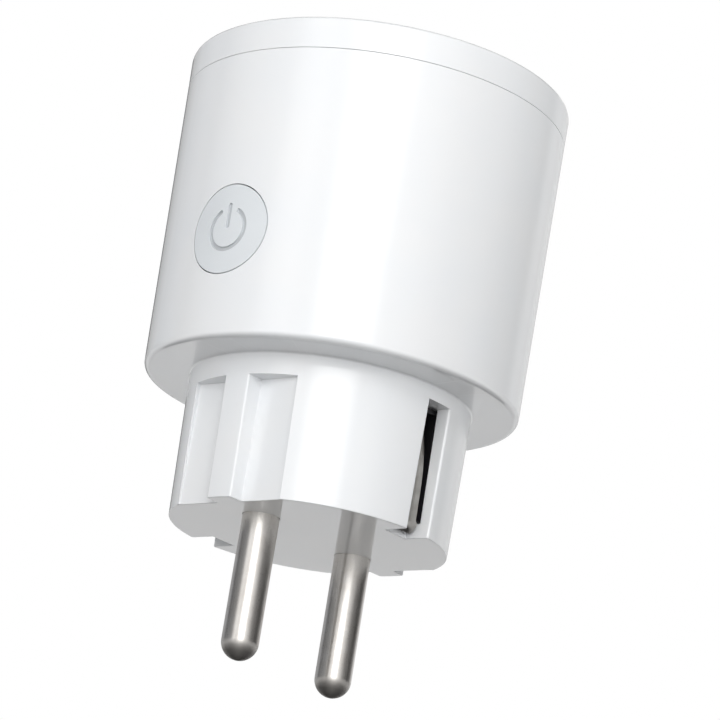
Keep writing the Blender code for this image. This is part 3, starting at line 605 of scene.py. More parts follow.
def apply_modifiers(obj: bpy.types.Object) -> None:
    """Replaces the object's mesh with what its modifiers make of it."""
    graph = bpy.context.evaluated_depsgraph_get()
    result = bpy.data.meshes.new_from_object(obj.evaluated_get(graph))
    obj.modifiers.clear()
    obj.data = result


def combine(obj: bpy.types.Object, operation: Operation, *tools: bpy.types.Object) -> None:
    """Cuts, joins or keeps with each tool in turn, and deletes the tools.

    Args:
        obj: the object that changes.
        operation: what happens.
        tools: closed solids.
    """
    for tool in tools:
        step = obj.modifiers.new(tool.name, "BOOLEAN")
        step.operation = operation.value
        step.solver = "EXACT"
        step.object = tool
    apply_modifiers(obj)
    for tool in tools:
        bpy.data.objects.remove(tool)


def round_edges(obj: bpy.types.Object, radius: float, segments: int = 3, over: float = 40.0) -> None:
    """Rounds every edge that turns more than an angle.

    Args:
        obj: the object that changes.
        radius: the rounding's width.
        segments: its steps.
        over: the angle from which an edge is rounded.
    """
    bevel = obj.modifiers.new("edges", "BEVEL")
    bevel.width = radius
    bevel.segments = segments
    bevel.limit_method = "ANGLE"
    bevel.angle_limit = math.radians(over)
    bevel.use_clamp_overlap = True
    apply_modifiers(obj)


def shade(obj: bpy.types.Object, cones: Sequence["Cone"] = ()) -> None:
    """Shades the object smooth between its crisp edges, and exactly round on its cones.

    Args:
        obj: the object that changes.
        cones: the turned surfaces whose true normals are known.
    """
    obj.data.shade_smooth()
    obj.data.set_sharp_from_angle(angle=math.radians(SHARP_ANGLE))
    weighted = obj.modifiers.new("flat_faces_stay_flat", "WEIGHTED_NORMAL")
    weighted.keep_sharp = True
    apply_modifiers(obj)
    mesh = obj.data
    normals = [Vector(corner.vector) for corner in mesh.corner_normals]
    for face in mesh.polygons:
        for cone in cones:
            if cone.holds(mesh, face):
                for index in face.loop_indices:
                    normals[index] = cone.normal_at(mesh.vertices[mesh.loops[index].vertex_index].co)
    mesh.normals_split_custom_set(normals)


@dataclass(frozen=True)
class Cone:
    """A turned surface round the Z axis whose radius changes evenly with height."""

    low_z: float
    high_z: float
    low_radius: float
    high_radius: float

    def radius_at(self, z: float) -> float:
        """Gives the radius at a height."""
        share = (z - self.low_z) / (self.high_z - self.low_z)
        return self.low_radius + share * (self.high_radius - self.low_radius)

    def normal_at(self, point: Vector) -> Vector:
        """Gives the outward normal at a point of the surface."""
        slope = (self.high_radius - self.low_radius) / (self.high_z - self.low_z)
        away = Vector((point.x, point.y, 0.0)).normalized()
        return (away - Vector((0.0, 0.0, slope))).normalized()

    def holds(self, mesh: bpy.types.Mesh, face: bpy.types.MeshPolygon) -> bool:
        """Says whether all of a face's corners lie on the surface."""
        tolerance = 0.004 * MM
        for index in face.vertices:
            point = mesh.vertices[index].co
            if not self.low_z - tolerance <= point.z <= self.high_z + tolerance:
                return False
            if abs(math.hypot(point.x, point.y) - self.radius_at(point.z)) > tolerance:
                return False
        return face.normal.dot(self.normal_at(face.center)) > 0.9


def wear(obj: bpy.types.Object, finish: Finish) -> None:
    """Gives the object one finish all over."""
    obj.data.materials.clear()
    obj.data.materials.append(finish.material())


def put_in_place(obj: bpy.types.Object, body: str, slot: str, *nodes: str) -> None:
    """Makes a piece stand for its nodes on their body, with the finish of its slot.

    Args:
        obj: the piece.
        body: the body that it moves with.
        slot: the record's material slot.
        nodes: the nodes that it replaces.
    """
    wear(obj, SLOT_FINISHES[slot])
    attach(obj, body)
    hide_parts(*nodes)
    log.info("%s: %d faces, for %s", obj.name, len(obj.data.polygons), ", ".join(nodes))


# The places that the pieces share -----------------------------------------------------------------
@dataclass
class Datums:
    """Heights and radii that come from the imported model."""

    end_z: float = 0.0
    shoulder_z: float = 0.0
    socket_floor_z: float = 0.0
    rim_z: float = 0.0
    seam_z: float = 0.0
    top_radius: float = 0.0
    button: Vector = field(default_factory=Vector)
    pin_y: float = 0.0

    @classmethod
    def read(cls) -> "Datums":
        """Reads them from the record's mounts and the nodes' boxes."""
        mounts = {mount["name"]: Vector(mount["pos_m"]) for mount in frame["record"]["mounts"]}
        housing_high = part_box("main_housing")[1]
        button_low, button_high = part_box("power_button")
        pin_low, pin_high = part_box("neutral_pin")
        half_gap = 0.15 * MM
        return cls(
            end_z=mounts["wall_seat"].z,
            shoulder_z=mounts["shoulder"].z,
            socket_floor_z=mounts["socket_floor"].z,
            rim_z=mounts["socket_rim"].z,
            seam_z=housing_high.z + half_gap,
            top_radius=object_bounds()[1].x,
            button=(button_low + button_high) / 2,
            pin_y=(pin_low.y + pin_high.y) / 2,
        )

    def body(self) -> Cone:
        """Gives the outer surface of the body, which narrows slightly towards the shoulder."""
        return Cone(self.shoulder_z, self.rim_z, self.top_radius - 0.8 * MM, self.top_radius)


# Sub-assemblies -----------------------------------------------------------------------------------
@dataclass
class HousingShell:
    """The moulded body and plug insert in one piece, with the grooves, earth openings and button hole."""

    at: Datums
    seam_gap: float = 0.07 * MM
    seam_edge: float = 0.04 * MM
    wall: float = 1.9 * MM
    floor_z: float = 20.8 * MM
    bottom_edge: float = 0.8 * MM
    root_fillet: float = 0.25 * MM
    insert_end_radius: float = 18.15 * MM
    insert_root_radius: float = 18.6 * MM
    end_edge: float = 0.12 * MM
    cavity_radius: float = 13.8 * MM
    end_wall: float = 3.0 * MM
    rib_half: float = 2.0 * MM
    rib_edge: float = 0.3 * MM
    groove_half: float = 8.35 * MM
    groove_edge: float = 0.07 * MM
    groove_floor_y: float = 15.9 * MM
    groove_corner: float = 0.15 * MM
    groove_top_z: float = 16.1 * MM
    recess_half: float = 2.1 * MM
    recess_edge: float = 0.3 * MM
    recess_floor_x: float = 16.35 * MM
    recess_top_z: float = 17.1 * MM
    notch_floor_x: float = 14.4 * MM
    notch_top_z: float = 2.0 * MM
    slot_half: float = 3.3 * MM
    slot_inner_x: float = 12.0 * MM
    slot_outer_x: float = 16.45 * MM
    slot_top_z: float = 17.3 * MM
    pin_hole_radius: float = 2.46 * MM
    button_hole_radius: float = 6.07 * MM
    button_hole_inner_y: float = -21.0 * MM
    button_hole_outer_y: float = -27.0 * MM
    boss_radius: float = 2.6 * MM
    boss_low: float = 2.5 * MM
    boss_high: float = 4.6 * MM
    pilot_radius: float = 1.3 * MM
    pilot_low: float = 1.8 * MM
    pilot_high_z: float = 6.0 * MM

    def insert(self) -> Cone:
        """Gives the outer surface of the plug insert."""
        root_z = self.at.shoulder_z - self.root_fillet
        return Cone(self.at.end_z, root_z, self.insert_end_radius, self.insert_root_radius)

    def spread(self, radius: float, start: float, end: float, count: int) -> list[tuple[float, float]]:
        """Gives evenly spaced points of the outer circle between two angles, ends left out."""
        return arc((0.0, 0.0), radius, start, end, count)[1:-1]

    def quadrant(
        self, z: float, inset: float, grooved: bool, recess_floor: float | None
    ) -> list[tuple[float, float]]:
        """Gives the insert's outline from the +X axis to just before the +Y axis.

        Args:
            z: the height.
            inset: how far the outline lies inside the solid.
            grooved: whether the guide grooves are cut at this height.
            recess_floor: how far from the axis the earth recess ends, or None above it.

        Returns:
            The same number of points for every height.
        """
        radius = self.insert().radius_at(z) - inset
        recess = self.recess_half + inset
        rib, outer = self.rib_half - inset, self.groove_half + inset
        floor_y = self.groove_floor_y - inset
        recess_edge = self.recess_edge - inset
        rib_edge = self.rib_edge - inset
        groove_edge = max(self.groove_edge - inset, 0.02 * MM)
        small_corner = 0.04 * MM
        floor_x = (recess_floor or self.recess_floor_x) - inset

        recess_y = recess + recess_edge
        recess_centre = (math.sqrt((radius - recess_edge) ** 2 - recess_y**2), recess_y)
        recess_angle = math.degrees(math.atan2(recess_centre[1], recess_centre[0]))
        outer_x = outer + groove_edge
        outer_centre = (outer_x, math.sqrt((radius - groove_edge) ** 2 - outer_x**2))
        outer_angle = math.degrees(math.atan2(outer_centre[1], outer_centre[0]))
        rib_centre = (rib - rib_edge, math.sqrt((radius - rib_edge) ** 2 - (rib - rib_edge) ** 2))
        rib_angle = math.degrees(math.atan2(rib_centre[1], rib_centre[0]))

        recess_part = [(floor_x, recess * share) for share in (0.0, 0.35, 0.7, 1.0)]
        recess_part += arc(recess_centre, recess_edge, -90, recess_angle, 6)
        outer_part = self.spread(radius, recess_angle, outer_angle, 36)
        groove_part = arc(outer_centre, groove_edge, outer_angle, 180, 3)
        groove_part += arc((outer - small_corner, floor_y + small_corner), small_corner, 0, -90, 2)
        corner = self.groove_corner
        start_x, end_x = outer - small_corner, rib + corner
        groove_part += [(start_x + (end_x - start_x) * i / 12, floor_y) for i in range(1, 12)]
        groove_part += arc((end_x, floor_y + corner), corner, -90, -180, 3)
        groove_part += arc(rib_centre, rib_edge, 0, rib_angle, 6)
        rib_part = self.spread(radius, rib_angle, 90, 4)
        if not grooved:
            groove_part = [(x, math.sqrt(radius**2 - x**2)) for x, _ in groove_part]
        if recess_floor is None:
            recess_part = [(math.sqrt(radius**2 - y**2), y) for _, y in recess_part]
        return recess_part + outer_part + groove_part + rib_part + [(0.0, radius)]

    def outline(self, z: float, inset: float, grooved: bool, recess_floor: float | None) -> list[Vector]:
        """Gives the whole closed outline at a height; the arguments are those of quadrant."""
        first = self.quadrant(z, inset, grooved, recess_floor)
        second = [(-x, y) for x, y in reversed(first)][1:]
        half = first + second
        whole = half + [(-x, -y) for x, y in half[1:-1]]
        return [Vector((x, y, z)) for x, y in whole]

    def circle(self, radius: float, z: float) -> list[Vector]:
        """Gives a round ring whose points stand above those of the insert's plain outline."""
        plain = self.outline(self.insert().high_z, 0.0, False, None)
        return [Vector((*(point.xy.normalized() * radius), z)) for point in plain]

    def rings(self) -> list[list[Vector]]:
        """Gives every ring, from the insert's end over the outside and down into the cavity."""
        at, body, insert = self.at, self.at.body(), self.insert()
        edge = self.end_edge
        notch, recess = self.notch_floor_x, self.recess_floor_x
        stack = []
        for turn in (90, 60, 30, 0):
            inset = edge * (1 - math.cos(math.radians(turn)))
            height = edge * (1 - math.sin(math.radians(turn)))
            stack.append(self.outline(at.end_z + height, inset, True, notch))
        stack.append(self.outline(self.notch_top_z, 0.0, True, notch))
        stack.append(self.outline(self.notch_top_z, 0.0, True, recess))
        stack.append(self.outline(self.groove_top_z, 0.0, True, recess))
        stack.append(self.outline(self.groove_top_z, 0.0, False, recess))
        stack.append(self.outline(self.recess_top_z, 0.0, False, recess))
        stack.append(self.outline(self.recess_top_z, 0.0, False, None))

        fillet = self.root_fillet
        root_centre = (insert.high_radius + fillet, at.shoulder_z - fillet)
        bottom = self.bottom_edge
        bottom_centre = (body.radius_at(at.shoulder_z + bottom) - bottom, at.shoulder_z + bottom)
        rim_z = at.seam_z - self.seam_gap / 2
        rim_radius = body.radius_at(rim_z)
        seam_centre = (rim_radius - self.seam_edge, rim_z - self.seam_edge)
        profile = arc(root_centre, fillet, 180, 90, 6)
        profile += arc(bottom_centre, bottom, -90, 0, 8)
        profile += arc(seam_centre, self.seam_edge, 0, 90, 2)
        profile += [
            (rim_radius - self.wall, rim_z),
            (body.radius_at(self.floor_z) - self.wall, self.floor_z),
            (self.cavity_radius, self.floor_z),
            (self.cavity_radius, at.end_z + self.end_wall),
        ]
        return stack + [self.circle(radius, z) for radius, z in profile]

    def build(self) -> bpy.types.Object:
        """Makes the shell and cuts its openings."""
        at = self.at
        shell = ring_stack("housing_shell", self.rings())
        below = at.end_z - 1 * MM
        boss_start = Vector((0, 0, at.end_z + self.boss_low))
        boss_end = Vector((0, 0, at.end_z + self.boss_high))
        combine(shell, Operation.JOIN, rod("retainer_boss", self.boss_radius, boss_start, boss_end, 40))
        pilot_start = Vector((0, 0, at.end_z + self.pilot_low))
        pilot_end = Vector((0, 0, self.pilot_high_z))
        tools = [rod("retainer_pilot", self.pilot_radius, pilot_start, pilot_end, 32)]
        for side in (-1, 1):
            low = (side * self.slot_inner_x, -self.slot_half, self.notch_top_z - 0.1 * MM)
            high = (side * self.slot_outer_x, self.slot_half, self.slot_top_z)
            tools.append(block(f"earth_slot_{side}", low, high))
            y = side * at.pin_y
            start, end = Vector((0, y, below)), Vector((0, y, at.end_z + self.end_wall * 1.2))
            tools.append(rod(f"pin_hole_{side}", self.pin_hole_radius, start, end, 64))
        hole_start = Vector((0, self.button_hole_inner_y, at.button.z))
        hole_end = Vector((0, self.button_hole_outer_y, at.button.z))
        tools.append(rod("button_hole", self.button_hole_radius, hole_start, hole_end, 128))
        combine(shell, Operation.CUT, *tools)
        shade(shell, [self.at.body(), self.insert()])
        return shell

    def dress(self, shell: bpy.types.Object) -> None:
        """Gives the shell its gloss and its place."""
        put_in_place(shell, "housing", "white_shell", "main_housing")


@dataclass
class FrontCover:
    """The socket face: a ring that closes the body, and the cup of the recess in it."""

    at: Datums
    seam_gap: float = 0.07 * MM
    seam_edge: float = 0.04 * MM
    rim_edge: float = 0.5 * MM
    mouth_edge: float = 0.6 * MM
    recess_floor_radius: float = 19.6 * MM
    recess_mouth_radius: float = 19.8 * MM
    recess_corner: float = 0.5 * MM
    floor_thickness: float = 1.9 * MM
    cup_radius: float = 21.4 * MM
    skirt_gap: float = 2.15 * MM
    skirt_thickness: float = 0.9 * MM
    skirt_low_z: float = 53.5 * MM
    trough_z: float = 58.8 * MM
    hole_radius: float = 3.0 * MM
    funnel_radius: float = 4.0 * MM
    funnel_depth: float = 0.8 * MM
    rib_near_x: float = 2.5 * MM
    rib_far_x: float = 7.4 * MM
    rib_near_y: float = 16.3 * MM
    rib_far_y: float = 20.4 * MM
    rib_height: float = 15.5 * MM
    rib_rounding: float = 0.3 * MM
    boss_x: float = 11.0 * MM
    boss_radius: float = 2.4 * MM
    boss_low_z: float = 40.7 * MM
    pilot_radius: float = 1.25 * MM
    pilot_low_z: float = 40.0 * MM
    pilot_high_z: float = 43.6 * MM
    pocket_near_x: float = 17.4 * MM
    pocket_far_x: float = 20.6 * MM
    pocket_half: float = 2.7 * MM
    pocket_low_z: float = 41.0 * MM
    pocket_high_z: float = 60.5 * MM
    hole_low_z: float = 41.0 * MM
    hole_high_z: float = 46.0 * MM

    def profile(self) -> list[tuple[float, float]]:
        """Gives the turned profile, from the recess floor over the rim and back underneath."""
        at, body = self.at, self.at.body()
        ring_z = at.seam_z + self.seam_gap / 2
        ring_radius = body.radius_at(ring_z)
        skirt = body.radius_at(at.seam_z) - self.skirt_gap
        inner = skirt - self.skirt_thickness
        under_z = at.socket_floor_z - self.floor_thickness
        corner, mouth, rim, seam = self.recess_corner, self.mouth_edge, self.rim_edge, self.seam_edge
        points = [(0.0, at.socket_floor_z)]
        points += arc((self.recess_floor_radius - corner, at.socket_floor_z + corner), corner, -90, 0, 5)
        points += arc((self.recess_mouth_radius + mouth, at.rim_z - mouth), mouth, 180, 90, 6)
        points += arc((at.top_radius - rim, at.rim_z - rim), rim, 90, 0, 6)
        points += arc((ring_radius - seam, ring_z + seam), seam, 0, -90, 2)
        points += [
            (skirt, ring_z),
            (skirt, self.skirt_low_z),
            (inner, self.skirt_low_z),
            (inner, self.trough_z),
            (self.cup_radius, self.trough_z),
            (self.cup_radius, under_z),
            (0.0, under_z),
        ]
        return points

    def build(self) -> bpy.types.Object:
        """Makes the cover with its guide ribs, pin holes, clip pockets and screw bosses."""
        at = self.at
        cover = turned("socket_cover", self.profile(), 256)
        floor_z = at.socket_floor_z
        under_z = floor_z - self.floor_thickness
        ribs = []
        for side_y in (-1, 1):
            for side_x in (-1, 1):
                low = (side_x * self.rib_near_x, side_y * self.rib_near_y, floor_z - 0.5 * MM)
                high = (side_x * self.rib_far_x, side_y * self.rib_far_y, floor_z + self.rib_height)
                ribs.append(block(f"guide_rib_{side_x}_{side_y}", low, high, self.rib_rounding))
        bosses = []
        pilots = []
        for side in (-1, 1):
            x = side * self.boss_x
            start, end = Vector((x, 0, self.boss_low_z)), Vector((x, 0, under_z + 0.5 * MM))
            bosses.append(rod(f"screw_boss_{side}", self.boss_radius, start, end, 40))
            start, end = Vector((x, 0, self.pilot_low_z)), Vector((x, 0, self.pilot_high_z))
            pilots.append(rod(f"screw_pilot_{side}", self.pilot_radius, start, end, 32))
            low = (side * self.pocket_near_x, -self.pocket_half, self.pocket_low_z)
            high = (side * self.pocket_far_x, self.pocket_half, self.pocket_high_z)
            pilots.append(block(f"clip_pocket_{side}", low, high))
            y = side * at.pin_y
            start, end = Vector((0, y, self.hole_low_z)), Vector((0, y, self.hole_high_z))
            pilots.append(rod(f"pin_hole_{side}", self.hole_radius, start, end, 64))
            top = Vector((0, y, floor_z + 0.2 * MM))
            bottom = Vector((0, y, floor_z - self.funnel_depth))
            pilots.append(rod(f"funnel_{side}", self.hole_radius, bottom, top, 64, self.funnel_radius))
        combine(cover, Operation.JOIN, *ribs, *bosses)
        combine(cover, Operation.CUT, *pilots)
        shade(cover, [at.body()])
        return cover

    def dress(self, cover: bpy.types.Object) -> None:
        """Gives the cover its gloss and its place."""
        put_in_place(cover, "housing", "white_shell", "front_cover")


@dataclass
class PowerKey:
    """The round key in the side of the body, with a sunk stand-by sign."""

    at: Datums
    radius: float = 5.92 * MM
    sign_depth: float = 0.36 * MM
    inlay_height: float = 0.06 * MM
    stroke: float = 0.6 * MM
    ring_radius: float = 2.72 * MM
    ring_gap: float = 32.0
    bar_low: float = 0.1 * MM
    bar_high: float = 3.46 * MM
    flange_radius: float = 6.9 * MM
    flange_front_y: float = -21.4 * MM
    flange_back_y: float = -20.6 * MM
    skirt_inner_radius: float = 4.9 * MM
    cap_back_y: float = -23.4 * MM
    stem_radius: float = 1.4 * MM
    stem_end_y: float = -21.6 * MM
    blank_front_y: float = -26.5 * MM  # before the body's surface trims it
    sign_back_y: float = -23.8 * MM
    hollow_back_y: float = -20.0 * MM

    def stroke_prism(self, name: str, outline: Sequence[tuple[float, float]]) -> bpy.types.Object:
        """Makes a cutter: a flat outline in X and Z, seen from the front, drawn through the key's face."""
        depths = (self.blank_front_y, self.sign_back_y)
        rings = [[Vector((x, y, self.at.button.z + z)) for x, z in outline] for y in depths]
        return ring_stack(name, rings)

    def sign(self) -> list[bpy.types.Object]:
        """Makes the cutters of the open ring and of the bar."""
        half = self.stroke / 2
        start, end = 90 + self.ring_gap, 450 - self.ring_gap
        ring = arc((0, 0), self.ring_radius + half, start, end, 72)
        middle = arc((0, 0), self.ring_radius, start, end, 1)
        ring += arc(middle[1], half, end, end + 180, 8)[1:-1]
        ring += arc((0, 0), self.ring_radius - half, end, start, 72)
        ring += arc(middle[0], half, start + 180, start + 360, 8)[1:-1]
        bar = arc((0, self.bar_high - half), half, 0, 180, 8)
        bar += arc((0, self.bar_low + half), half, 180, 360, 8)
        return [self.stroke_prism("sign_ring", ring), self.stroke_prism("sign_bar", bar)]

    def cone(self, sunk: float) -> Cone:
        """Gives the body's surface, moved inwards."""
        body = self.at.body()
        return Cone(body.low_z, body.high_z, body.low_radius - sunk, body.high_radius - sunk)

    def envelope(self, sunk: float) -> bpy.types.Object:
        """Makes the solid inside the body's surface, moved inwards."""
        cone = self.cone(sunk)
        profile = [(0.0, cone.low_z), (cone.low_radius, cone.low_z), (cone.high_radius, cone.high_z)]
        return turned("envelope", [*profile, (0.0, cone.high_z)], 256)

    def build_inlay(self) -> bpy.types.Object:
        """Makes the grey sheet of painted shade that fills the bottom of the sign."""
        bar, ring = self.sign()
        combine(bar, Operation.JOIN, ring)
        combine(bar, Operation.CUT, self.envelope(self.sign_depth + self.inlay_height))
        combine(bar, Operation.KEEP, self.envelope(self.sign_depth - self.inlay_height))
        bar.name = "key_sign_inlay"
        shade(bar, [self.cone(self.sign_depth - self.inlay_height)])
        return bar

    def build(self) -> bpy.types.Object:
        """Makes the key with its sunk sign, flange, hollow and stem."""
        body, z = self.at.body(), self.at.button.z
        blank_end = Vector((0, self.blank_front_y, z))
        key = rod("power_key", self.radius, Vector((0, self.flange_back_y, z)), blank_end, 128)
        combine(key, Operation.KEEP, self.envelope(0.0))
        sign = self.sign()
        for cutter in sign:
            combine(cutter, Operation.CUT, self.envelope(self.sign_depth))
        combine(key, Operation.CUT, *sign)
        back, front = Vector((0, self.flange_back_y, z)), Vector((0, self.flange_front_y, z))
        combine(key, Operation.JOIN, rod("key_flange", self.flange_radius, back, front, 96))
        inside = Vector((0, self.cap_back_y, z))
        hollow_start = Vector((0, self.hollow_back_y, z))
        hollow = rod("key_hollow", self.skirt_inner_radius, hollow_start, inside, 64)
        combine(key, Operation.CUT, hollow)
        stem_start = Vector((0, self.cap_back_y - 0.5 * MM, z))
        stem = rod("key_stem", self.stem_radius, Vector((0, self.stem_end_y, z)), stem_start, 32)
        combine(key, Operation.JOIN, stem)
        shade(key, [body, self.cone(self.sign_depth)])
        return key

    def dress(self, key: bpy.types.Object, inlay: bpy.types.Object) -> None:
        """Gives the key its satin, the sign its grey of painted shade, and both their place."""
        put_in_place(key, "button", "button_plastic", "power_button")
        # painted shade: the grey of the sign's sunk floor
        wear(inlay, SIGN_GREY)
        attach(inlay, "button")
        log.info("%s: %d faces", inlay.name, len(inlay.data.polygons))


@dataclass
class PlugPins:
    """The two round-nosed pins that the adapter hangs on."""

    radius: float = 2.4 * MM
    collar_radius: float = 3.5 * MM
    collar_thickness: float = 1.2 * MM
    collar_z: float = 3.3 * MM
    stem_radius: float = 1.6 * MM
    edge: float = 0.15 * MM

    def build(self, name: str, node: str) -> bpy.types.Object:
        """Makes one pin with its collar and rivet stem.

        Args:
            name: the piece's name.
            node: the node that it stands for.

        Returns:
            The pin.
        """
        low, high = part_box(node)
        centre = ((low.x + high.x) / 2, (low.y + high.y) / 2)
        collar_z, edge = self.collar_z, self.edge
        top = collar_z + self.collar_thickness
        profile = arc((0.0, low.z + self.radius), self.radius, -90, 0, 14)
        profile += [(self.radius, collar_z)]
        profile += arc((self.collar_radius - edge, collar_z + edge), edge, -90, 0, 2)
        profile += arc((self.collar_radius - edge, top - edge), edge, 0, 90, 2)
        profile += [(self.stem_radius, top)]
        profile += arc((self.stem_radius - edge, high.z - edge), edge, 0, 90, 2)
        profile += [(0.0, high.z)]
        pin = turned(name, profile, 72, centre)
        shade(pin)
        return pin

    def dress(self, pin: bpy.types.Object, node: str) -> None:
        """Gives one pin its plating and its place."""
        put_in_place(pin, "housing", "nickel", node)


@dataclass
class EarthContacts:
    """The sprung earth strips: a blade in each side of the insert, a clip in each side of the socket."""

    blade_thickness: float = 0.6 * MM
    clip_thickness: float = 0.5 * MM
    clip_half: float = 2.1 * MM
    clip_x: float = 19.2 * MM
    clip_low_z: float = 24.2 * MM
    clip_bend_z: float = 46.8 * MM
    foot_half: float = 1.8 * MM
    blade_half: float = 1.5 * MM
    edge: float = 0.08 * MM
    blade_spring_mm: Profile = ((15.9, 2.2), (15.85, 8.0), (15.4, 12.0), (14.7, 14.6), (13.6, 16.2))
    clip_bow_mm: Profile = (
        (19.2, 47.2), (18.6, 48.4), (17.4, 50.8), (17.0, 52.6), (17.4, 54.4), (18.6, 56.8), (19.5, 58.6),
    )

    def strip(
        self, name: str, path: Profile, half_widths: Sequence[float], thickness: float
    ) -> bpy.types.Object:
        """Bends a strip along a path in X and Z, with its width along Y.

        Args:
            name: the object's name.
            path: the (x, z) points of its middle.
            half_widths: half its width at each point.
            thickness: its thickness.

        Returns:
            The closed strip with eased edges.
        """
        shape = bmesh.new()
        rows = []
        for (x, z), half in zip(path, half_widths):
            rows.append([shape.verts.new((x, side * half, z)) for side in (-1, 1)])
        for row, following in pairwise(rows):
            shape.faces.new((row[0], row[1], following[1], following[0]))
        band = object_from(name, shape)
        solid = band.modifiers.new("thickness", "SOLIDIFY")
        solid.thickness = thickness
        solid.offset = 0.0
        solid.use_even_offset = True
        apply_modifiers(band)
        round_edges(band, self.edge, 2, 60)
        shade(band)
        return band

    def smooth_path(self, path: Profile, steps: int = 6) -> list[tuple[float, float]]:
        """Runs a Catmull-Rom curve through the points of a path."""
        points = [Vector(p) for p in path]
        points = [2 * points[0] - points[1], *points, 2 * points[-1] - points[-2]]
        curve = []
        for a, b, c, d in zip(points, points[1:], points[2:], points[3:]):
            for i in range(steps):
                t = i / steps
                bend = a - 2.5 * b + 2 * c - d / 2
                turn = 1.5 * (b - c) + (d - a) / 2
                curve.append(tuple(b + t * (c - a) / 2 + t**2 * bend + t**3 * turn))
        return curve + [tuple(points[-2])]

    def blade(self, name: str, side: int) -> bpy.types.Object:
        """Makes a blade whose foot curls into the notch of the end face."""
        foot = arc((14.8 * MM, 1.9 * MM), 1.1 * MM, -80, 0, 10)
        spring = self.smooth_path([(x * MM, z * MM) for x, z in self.blade_spring_mm])
        flange = arc((13.8 * MM, 16.9 * MM), 0.8 * MM, 215, 180, 3) + [(13.0 * MM, 20.1 * MM)]
        flange += arc((12.5 * MM, 20.1 * MM), 0.5 * MM, 30, 90, 3) + [(8.5 * MM, 20.6 * MM)]
        path = foot + spring + flange
        widths = [self.foot_half] * len(foot) + [self.blade_half] * (len(path) - len(foot))
        return self.strip(name, [(side * x, z) for x, z in path], widths, self.blade_thickness)

    def clip(self, name: str, side: int) -> bpy.types.Object:
        """Makes a clip that bows into the socket recess."""
        bow = self.smooth_path([(x * MM, z * MM) for x, z in self.clip_bow_mm])
        path = [(self.clip_x, self.clip_low_z), (self.clip_x, self.clip_bend_z)] + bow
        bent = [(side * x, z) for x, z in path]
        return self.strip(name, bent, [self.clip_half] * len(path), self.clip_thickness)

    def dress(self, piece: bpy.types.Object, node: str) -> None:
        """Gives one strip its bronze and its place."""
        put_in_place(piece, "housing", "spring_bronze", node)


@dataclass
class SafetyShutter:
    """The turning shutter under the socket's pin holes."""

    at: Datums
    hub_radius: float = 3.6 * MM
    pad_radius: float = 3.7 * MM
    arm_half: float = 2.1 * MM
    ramp_low_radius: float = 1.2 * MM
    ramp_radius: float = 3.4 * MM
    ramp_depth: float = 0.6 * MM
    bore_radius: float = 1.7 * MM

    def build(self) -> bpy.types.Object:
        """Makes the shutter with a ramp in each pad."""
        low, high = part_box("shutter")
        hub = rod("safety_shutter", self.hub_radius, Vector((0, 0, low.z)), Vector((0, 0, high.z)), 64)
        skin = 0.1 * MM
        arm_low = (-self.arm_half, -self.at.pin_y, low.z + skin)
        arm_high = (self.arm_half, self.at.pin_y, high.z - skin)
        combine(hub, Operation.JOIN, block("arm", arm_low, arm_high))
        for side in (-1, 1):
            y = side * self.at.pin_y
            pad_low, pad_high = Vector((0, y, low.z + skin / 2)), Vector((0, y, high.z - skin / 2))
            combine(hub, Operation.JOIN, rod("pad", self.pad_radius, pad_low, pad_high, 64))
            ramp_low = Vector((0, y, high.z - self.ramp_depth))
            ramp_high = Vector((0, y, high.z + 0.4 * MM))
            ramp = rod("ramp", self.ramp_low_radius, ramp_low, ramp_high, 48, self.ramp_radius)
            combine(hub, Operation.CUT, ramp)
        bore_low, bore_high = Vector((0, 0, low.z - 1 * MM)), Vector((0, 0, high.z + 1 * MM))
        bore = rod("bore", self.bore_radius, bore_low, bore_high, 48)
        combine(hub, Operation.CUT, bore)
        shade(hub)
        return hub

    def dress(self, shutter: bpy.types.Object) -> None:
        """Gives the shutter its nylon and its place."""
        put_in_place(shutter, "shutter", "carrier_plastic", "shutter")


@dataclass
class InnerParts:
    """The boards, relay, contacts and screws, which keep their own meshes and get their finishes."""

    replaced: set[str]

    def dress(self) -> None:
        """Gives each remaining node the finish of its slot."""
        for part in frame["record"]["subparts"]:
            node, slot = part["node"], part["material_slot"]
            if node in self.replaced:
                continue
            piece = frame["nodes"][node]
            material = SLOT_FINISHES[slot].material()
            for holder in piece.material_slots:
                holder.material = material
            log.info("%s: its own mesh, %s", node, material.name)


